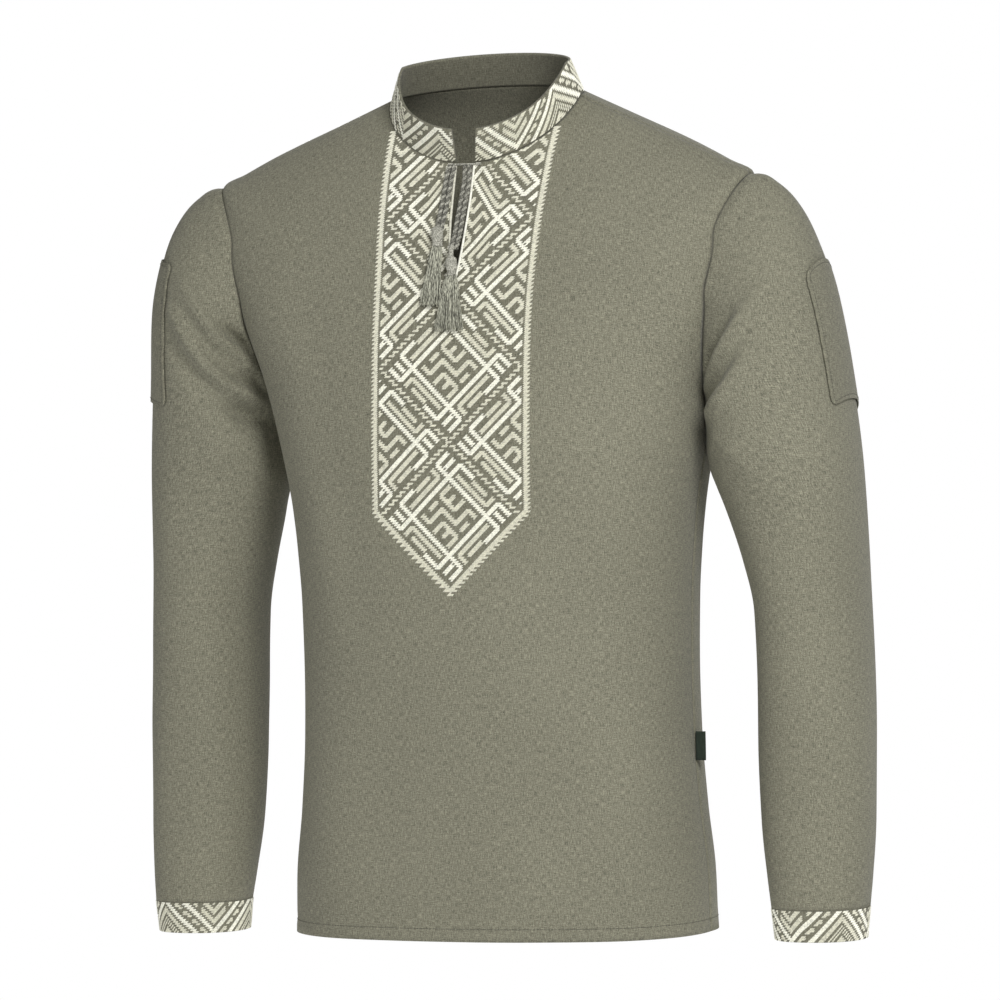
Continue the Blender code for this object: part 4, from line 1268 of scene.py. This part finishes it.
def make_collar():
    """The stand collar and its embroidery."""
    rows, columns = COLLAR_ROWS, COLLAR_COLUMNS
    grid = collar_grid(np.linspace(0, 1, rows), np.linspace(0, 1, columns))
    piece = cloth_piece("collar", grid[:, ::-1], COLLAR_WALL, "facing", "band")
    length = along(grid[rows // 2])[-1]
    height = along(grid[:, columns // 2])[-1]
    across, down = int(length / CELL) - 1, int(height / CELL)
    i, j = cells(np.arange(across), np.arange(down))
    chart = band_chart(i - across // 2 + 7, j)
    row_step, column_step = -(rows - 1) / (down + 0.6), (columns - 1) / (across + 0.6)
    place = grid_place(Surface(grid), row_step, column_step, rows - 1.6, 0.9)
    return piece, embroider("collar_embroidery", i, j, chart, place)


def make_cuffs():
    """Both cuffs and their embroidery."""
    made = []
    for side in ("left", "right"):
        name = "cuff_" + side
        grid = on_side(cuff_grid(), side)
        piece = cloth_piece(name, grid[:, ::-1], CUFF_WALL, "facing", "band", closed_round=True)
        surface = Surface(grid[:, ::-1], closed_round=True, flip=True)
        ring = grid[CUFF_ROWS // 2]
        length = along(np.concatenate([ring, ring[:1]]))[-1]
        across, down = int(length / CELL), int(CUFF_HEIGHT / CELL)
        i, j = cells(np.arange(across), np.arange(down))
        chart = band_chart(i, j + (BAND_DROP - down + 1))
        place = grid_place(surface, (CUFF_ROWS - 1) / (down + 0.3), CUFF_SIDES / across, 0.5, 0.0)
        made.append((piece, embroider(name + "_embroidery", i, j, chart, place)))
    return made


def make_panel(surface):
    """The embroidered panel of the front."""
    top = int((CHART_TOP - CHART_Z) / CELL)
    wide = PANEL_HALF + BORDER_STRIPE + 1
    i, j = cells(np.arange(-wide, wide + 1), np.arange(-top, TIP_ROW + TIP_REACH + 7))
    border, beyond = border_chart(i, j)
    chart = np.where(beyond, border, panel_chart(i, j))
    middle = front_line(0.0)
    depth_of = along(middle)
    neck = body_point(0.0, np.sin(np.linspace(0, math.pi / 2, 200)), "front")
    neck_top = neck[0, 2]

    def to_front(flat):
        x, z = flat[..., 0] * CELL, CHART_Z - flat[..., 1] * CELL
        x = x * PANEL_WIDTH.at("half_width", z) / ((PANEL_HALF + 0.5) * CELL)
        depth = np.interp(-z, -middle[:, 2], depth_of)
        near = np.clip(1 - np.abs(x) / SLIT_SPREAD, 0, 1)
        open_here = (depth < SLIT_LENGTH) & (z < middle[0, 2] + 0.03)
        side = np.sign(x)
        if flat.ndim > 2:
            side = np.where(flat[..., 0].mean(axis=-1, keepdims=True) < 0, -1, 1)
        return x + side * np.where(open_here, slit_half(depth, SLIT_CELLS) * near, 0.0), z

    def place(flat):
        return on_front(surface, *to_front(flat))

    x, z = to_front(np.stack([i, j], axis=-1).astype(float))
    limit = np.interp(np.abs(x), neck[::-1, 0], neck[::-1, 2])
    on_slit = (i == 0) & (z > middle[0, 2] - SLIT_LENGTH)
    keep = (z < limit - 0.0012) & (chart > 0) & ~on_slit & (z < neck_top)
    return embroider("panel_embroidery", i[keep], j[keep], chart[keep], place)


def make_patches():
    """The panel on each upper arm, with the stitches that hold it."""
    made = []
    for side in ("left", "right"):
        name = "arm_patch_" + side
        grid = on_side(patch_grid(side), side)
        piece = cloth_piece(name, grid[:, ::-1], PATCH_WALL, "patch", "cloth")
        stitches = stitched_line(name + "_stitches", inner_edge(grid), inner_edge(outward(grid)))
        made.append((piece, stitches))
    return made


def inner_edge(values):
    """A closed line just inside a patch's edge."""
    a, b = PATCH_STITCH_ROW, PATCH_STITCH_COLUMN
    return np.concatenate([
        values[a, b:-b], values[a:-a, -b - 1], values[-a - 1, b:-b][::-1], values[a:-a, b][::-1],
        values[a, b:b + 1],
    ])


def make_slit_edges(surface):
    """Satin-stitched edges of the slit, as a cord of close rings down both sides."""
    middle = front_line(0.0)
    depth_of = along(middle)
    runs = []
    for side in (-1, 1):
        depth = np.linspace(0.0015, SLIT_LENGTH + 0.001, 220)
        z = np.interp(depth, depth_of, middle[:, 2])
        x = side * slit_half(depth, SEAM_GAP)
        point, normal = on_front(surface, x, z)
        ripple = SATIN_RADIUS + SATIN_RIPPLE * np.sin(2 * math.pi * depth / SATIN_PITCH)
        runs.append((point + normal * 0.0001, ripple))
    made = tubes("slit_edge_stitches", runs, "bright", "band")
    faces = len(made.data.polygons)
    second_material(made, "cream", np.arange(faces) < faces // 2)
    return made


def make_ties():
    """Ties of two strands twisted round each other, along the CAD's routes, the second strand painted darker
    as shade in the grooves of the twist.
    """
    made = {}
    for number, (name, points) in enumerate(TIES.items()):
        last, before = np.array(points[-1]), np.array(points[-2])
        into_head = last + unit(last - before) * TIE_INTO_HEAD
        route = tie_route([*points, tuple(into_head)])
        side, up = frames_along(route)
        turn = 2 * math.pi * along(route) / TWIST_PITCH + number
        runs = []
        for half_turn in (0, math.pi):
            a = (turn + half_turn)[:, None]
            runs.append((route + STRAND_OFFSET * (side * np.cos(a) + up * np.sin(a)), STRAND_RADIUS))
        piece = tubes(name + "_cord", runs, "cord", "tie")
        faces = len(piece.data.polygons)
        # The second strand is painted darker, as shade in the grooves of the twist.
        second_material(piece, "cord_painted_shade_strand", np.arange(faces) >= faces // 2)
        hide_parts(name)
        made[name] = (piece, route)
    bar_y = front_depth(TIE_BAR_HALF_LENGTH, TIE_BAR_Z)
    x = np.linspace(-TIE_BAR_HALF_LENGTH, TIE_BAR_HALF_LENGTH, 40)
    y = [min(front_depth(a, TIE_BAR_Z), bar_y) - TIE_BAR_RADIUS - TIE_CLEAR for a in x]
    route = np.stack([x, y, np.full(len(x), TIE_BAR_Z)], axis=1)
    radius = TIE_BAR_RADIUS * (0.9 + 0.1 * np.sin(2 * math.pi * x / BAR_TWIST))
    bar = tubes("tie_bar_cord", [(route, radius)], "cord", "tie")
    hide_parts("tie_bar")
    return made, bar


def make_tassels():
    """Tassels with wound heads and a skirt of many strands."""
    made = {}
    rng = np.random.default_rng(7)
    for name, row in TASSELS.items():
        top = dict(zip(TASSEL_COLUMNS, row))
        profile = np.array(HEAD_PROFILE[name])
        head_length = profile[-1, 1]
        root_x, root_z = top["top_x"], top["top_z"] - head_length
        face = min(front_depth(root_x, root_z), front_depth(root_x, top["top_z"]) - SEAM_GAP)
        centre_y = face - HEAD_CLEAR - profile[:, 0].max() * HEAD_FLATNESS
        down = np.linspace(0, head_length, 60)
        radius = smooth(profile[:, 1], profile[:, 0], down)
        radius = radius * (1 - 0.5 * np.exp(-(down / HEAD_ROUNDING) ** 2))
        radius += HEAD_WINDING_DEPTH * np.sin(2 * math.pi * down / HEAD_WINDING)
        verts, faces = tube(np.stack([0 * down, 0 * down, -down], axis=1), radius, 28)
        shapes = [(verts * (1, HEAD_FLATNESS, 1) + (root_x, centre_y, top["top_z"]), faces)]
        head_faces = len(faces)
        for deep in range(YARN_LAYERS):
            for across in range(YARNS_A_LAYER):
                u = 2 * (across + 0.5) / YARNS_A_LAYER - 1 + rng.uniform(-0.04, 0.04)
                bend = rng.uniform(-1, 1)
                root = (
                    root_x + u * YARN_ROOT_HALF_WIDTH,
                    centre_y + (deep - YARN_LAYERS // 2) * YARN_ROOT_LAYER * math.sqrt(1 - 0.8 * u * u),
                    root_z + YARN_ROOT_INSIDE,
                )
                begin = np.array(root)
                end_x = top["end_x"] + u * top["end_half_width"] + YARN_STRAY * bend
                end_z = top["end_z"] + rng.uniform(*YARN_UNEVEN)
                out = YARN_CLEAR + (YARN_LAYERS - 1 - deep) * YARN_LAYER
                end = np.array((end_x, front_depth(end_x, end_z) - out, end_z))
                t = np.linspace(0, 1, 9)[:, None]
                spread = t ** 0.85
                line = begin + (end - begin) * np.concatenate([spread, t, t], axis=1)
                line[:, 0] += YARN_WAVE * bend * np.sin(np.pi * 2 * t[:, 0] + across)
                line[:, 1] = np.minimum(line[:, 1], [front_depth(p[0], p[2]) - out for p in line])
                shapes.append(tube(line, YARN_RADIUS * (1 - 0.25 * t[:, 0]), 5))
        piece = add_mesh(name + "_yarn", *joined(shapes), "tassel", "tassel")
        second_material(piece, "cord", np.arange(len(piece.data.polygons)) < head_faces)
        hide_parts(name)
        made[name] = piece
    return made


def make_label():
    """A tape folded in half in the side seam: out, round and back."""
    station = float(np.interp(-LABEL_Z, -BODY.curves["side_z"], BODY.places))
    seam = body_point(station, 0.0, "front")
    half = LABEL_THICK / 2 - 0.0001
    reach = np.linspace(0, LABEL_WIDTH - half, 8)
    arc = np.linspace(-math.pi / 2, math.pi / 2, 9)[1:-1]
    x = np.concatenate([reach, reach[-1] + half * np.cos(arc), reach[::-1]])
    y = np.concatenate([np.full(8, -half), half * np.sin(arc), np.full(8, half)])
    rows = []
    for share in np.linspace(0, 1, 12):
        z = LABEL_Z + LABEL_HEIGHT * (0.5 - share)
        bow = 0.0002 * np.sin(math.pi * share) * x / LABEL_WIDTH
        rows.append(np.stack([seam[0] + LABEL_CLEAR + x, seam[1] + y + bow, np.full(len(x), z)], axis=1))
    return cloth_piece("side_label", np.array(rows), TAPE_WALL, "label", "label", ending="_tape")


# Stage
VIEW_TARGET = (0.0, 0.0267, -0.3456)
VIEW_AZIMUTH = 20.0
VIEW_ELEVATION = 1.5
VIEW_DISTANCE = 5.5
VIEW_ROLL = 1.1
PIXEL = 0.00087
IMAGE_SIZE = 1000
SENSOR = 36.0
FLOOR_HALF = 2.6
FLOOR_Z = -1.10
FLOOR_GLOW = 0.32

# The backdrop is white, and lights the shirt with this share of its brightness
AMBIENT = 0.27
LIGHTS = (
    ("key", (1.50, -1.85, 0.95), 0.8, 54.0),
    ("fill", (-2.0, -2.4, 0.3), 1.6, 12.0),
    ("back", (-0.6, 2.7, 0.9), 1.8, 38.0),
)


def make_camera():
    data = bpy.data.cameras.new("camera")
    data.sensor_width = SENSOR
    data.lens = SENSOR * VIEW_DISTANCE / (PIXEL * IMAGE_SIZE)
    data.clip_end = 50
    camera = put("camera", data)
    a, e = math.radians(VIEW_AZIMUTH), math.radians(VIEW_ELEVATION)
    away = Vector((math.sin(a) * math.cos(e), -math.cos(a) * math.cos(e), math.sin(e)))
    look = (-away).to_track_quat("-Z", "Y").to_matrix().to_4x4()
    roll = Matrix.Rotation(-math.radians(VIEW_ROLL), 4, "Z")
    camera.matrix_world = Matrix.Translation(Vector(VIEW_TARGET) + away * VIEW_DISTANCE) @ look @ roll
    bpy.context.scene.camera = camera


def area_light(name, place, size, power):
    data = bpy.data.lights.new(name, "AREA")
    data.shape = "SQUARE"
    data.size = size
    data.energy = power
    light = put(name, data)
    light.location = place
    aim = Vector(VIEW_TARGET) - Vector(place)
    light.rotation_euler = aim.to_track_quat("-Z", "Y").to_euler()


def make_stage():
    data = bpy.data.meshes.new("floor")
    corners = [(x * FLOOR_HALF, y * FLOOR_HALF, FLOOR_Z) for x, y in ((-1, -1), (1, -1), (1, 1), (-1, 1))]
    data.from_pydata(corners, [], [(0, 1, 2, 3)])
    floor = put("floor", data)
    n = Nodes("pale_floor", (0.93, 0.93, 0.92), 0.95)
    n.shader.inputs["Emission Color"].default_value = (1.0, 1.0, 1.0, 1.0)
    n.shader.inputs["Emission Strength"].default_value = FLOOR_GLOW
    data.materials.append(n.made)
    world = bpy.data.worlds.new("studio")
    world.use_nodes = True
    tree = world.node_tree
    background = tree.nodes["Background"]
    background.inputs["Color"].default_value = (1.0, 1.0, 1.0, 1.0)
    path = tree.nodes.new("ShaderNodeLightPath")
    level = tree.nodes.new("ShaderNodeMapRange")
    level.inputs["To Min"].default_value = AMBIENT
    level.inputs["To Max"].default_value = 1.0
    tree.links.new(path.outputs["Is Camera Ray"], level.inputs["Value"])
    tree.links.new(level.outputs["Result"], background.inputs["Strength"])
    bpy.context.scene.world = world
    for name, place, size, power in LIGHTS:
        area_light(name, place, size, power)


def main():
    make_camera()
    ties, bar = make_ties()
    tassels = make_tassels()
    front, back, front_hem, back_hem = make_body()
    surface = front_surface()
    panel = make_panel(surface)
    slit = make_slit_edges(surface)
    for sleeve, seam in make_sleeves():
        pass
    collar, threads = make_collar()
    for cuff, threads in make_cuffs():
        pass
    for patch, stitches in make_patches():
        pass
    make_label()
    make_stage()
    bpy.context.scene.view_settings.view_transform = "Standard"


main()
bpy.context.view_layer.update()
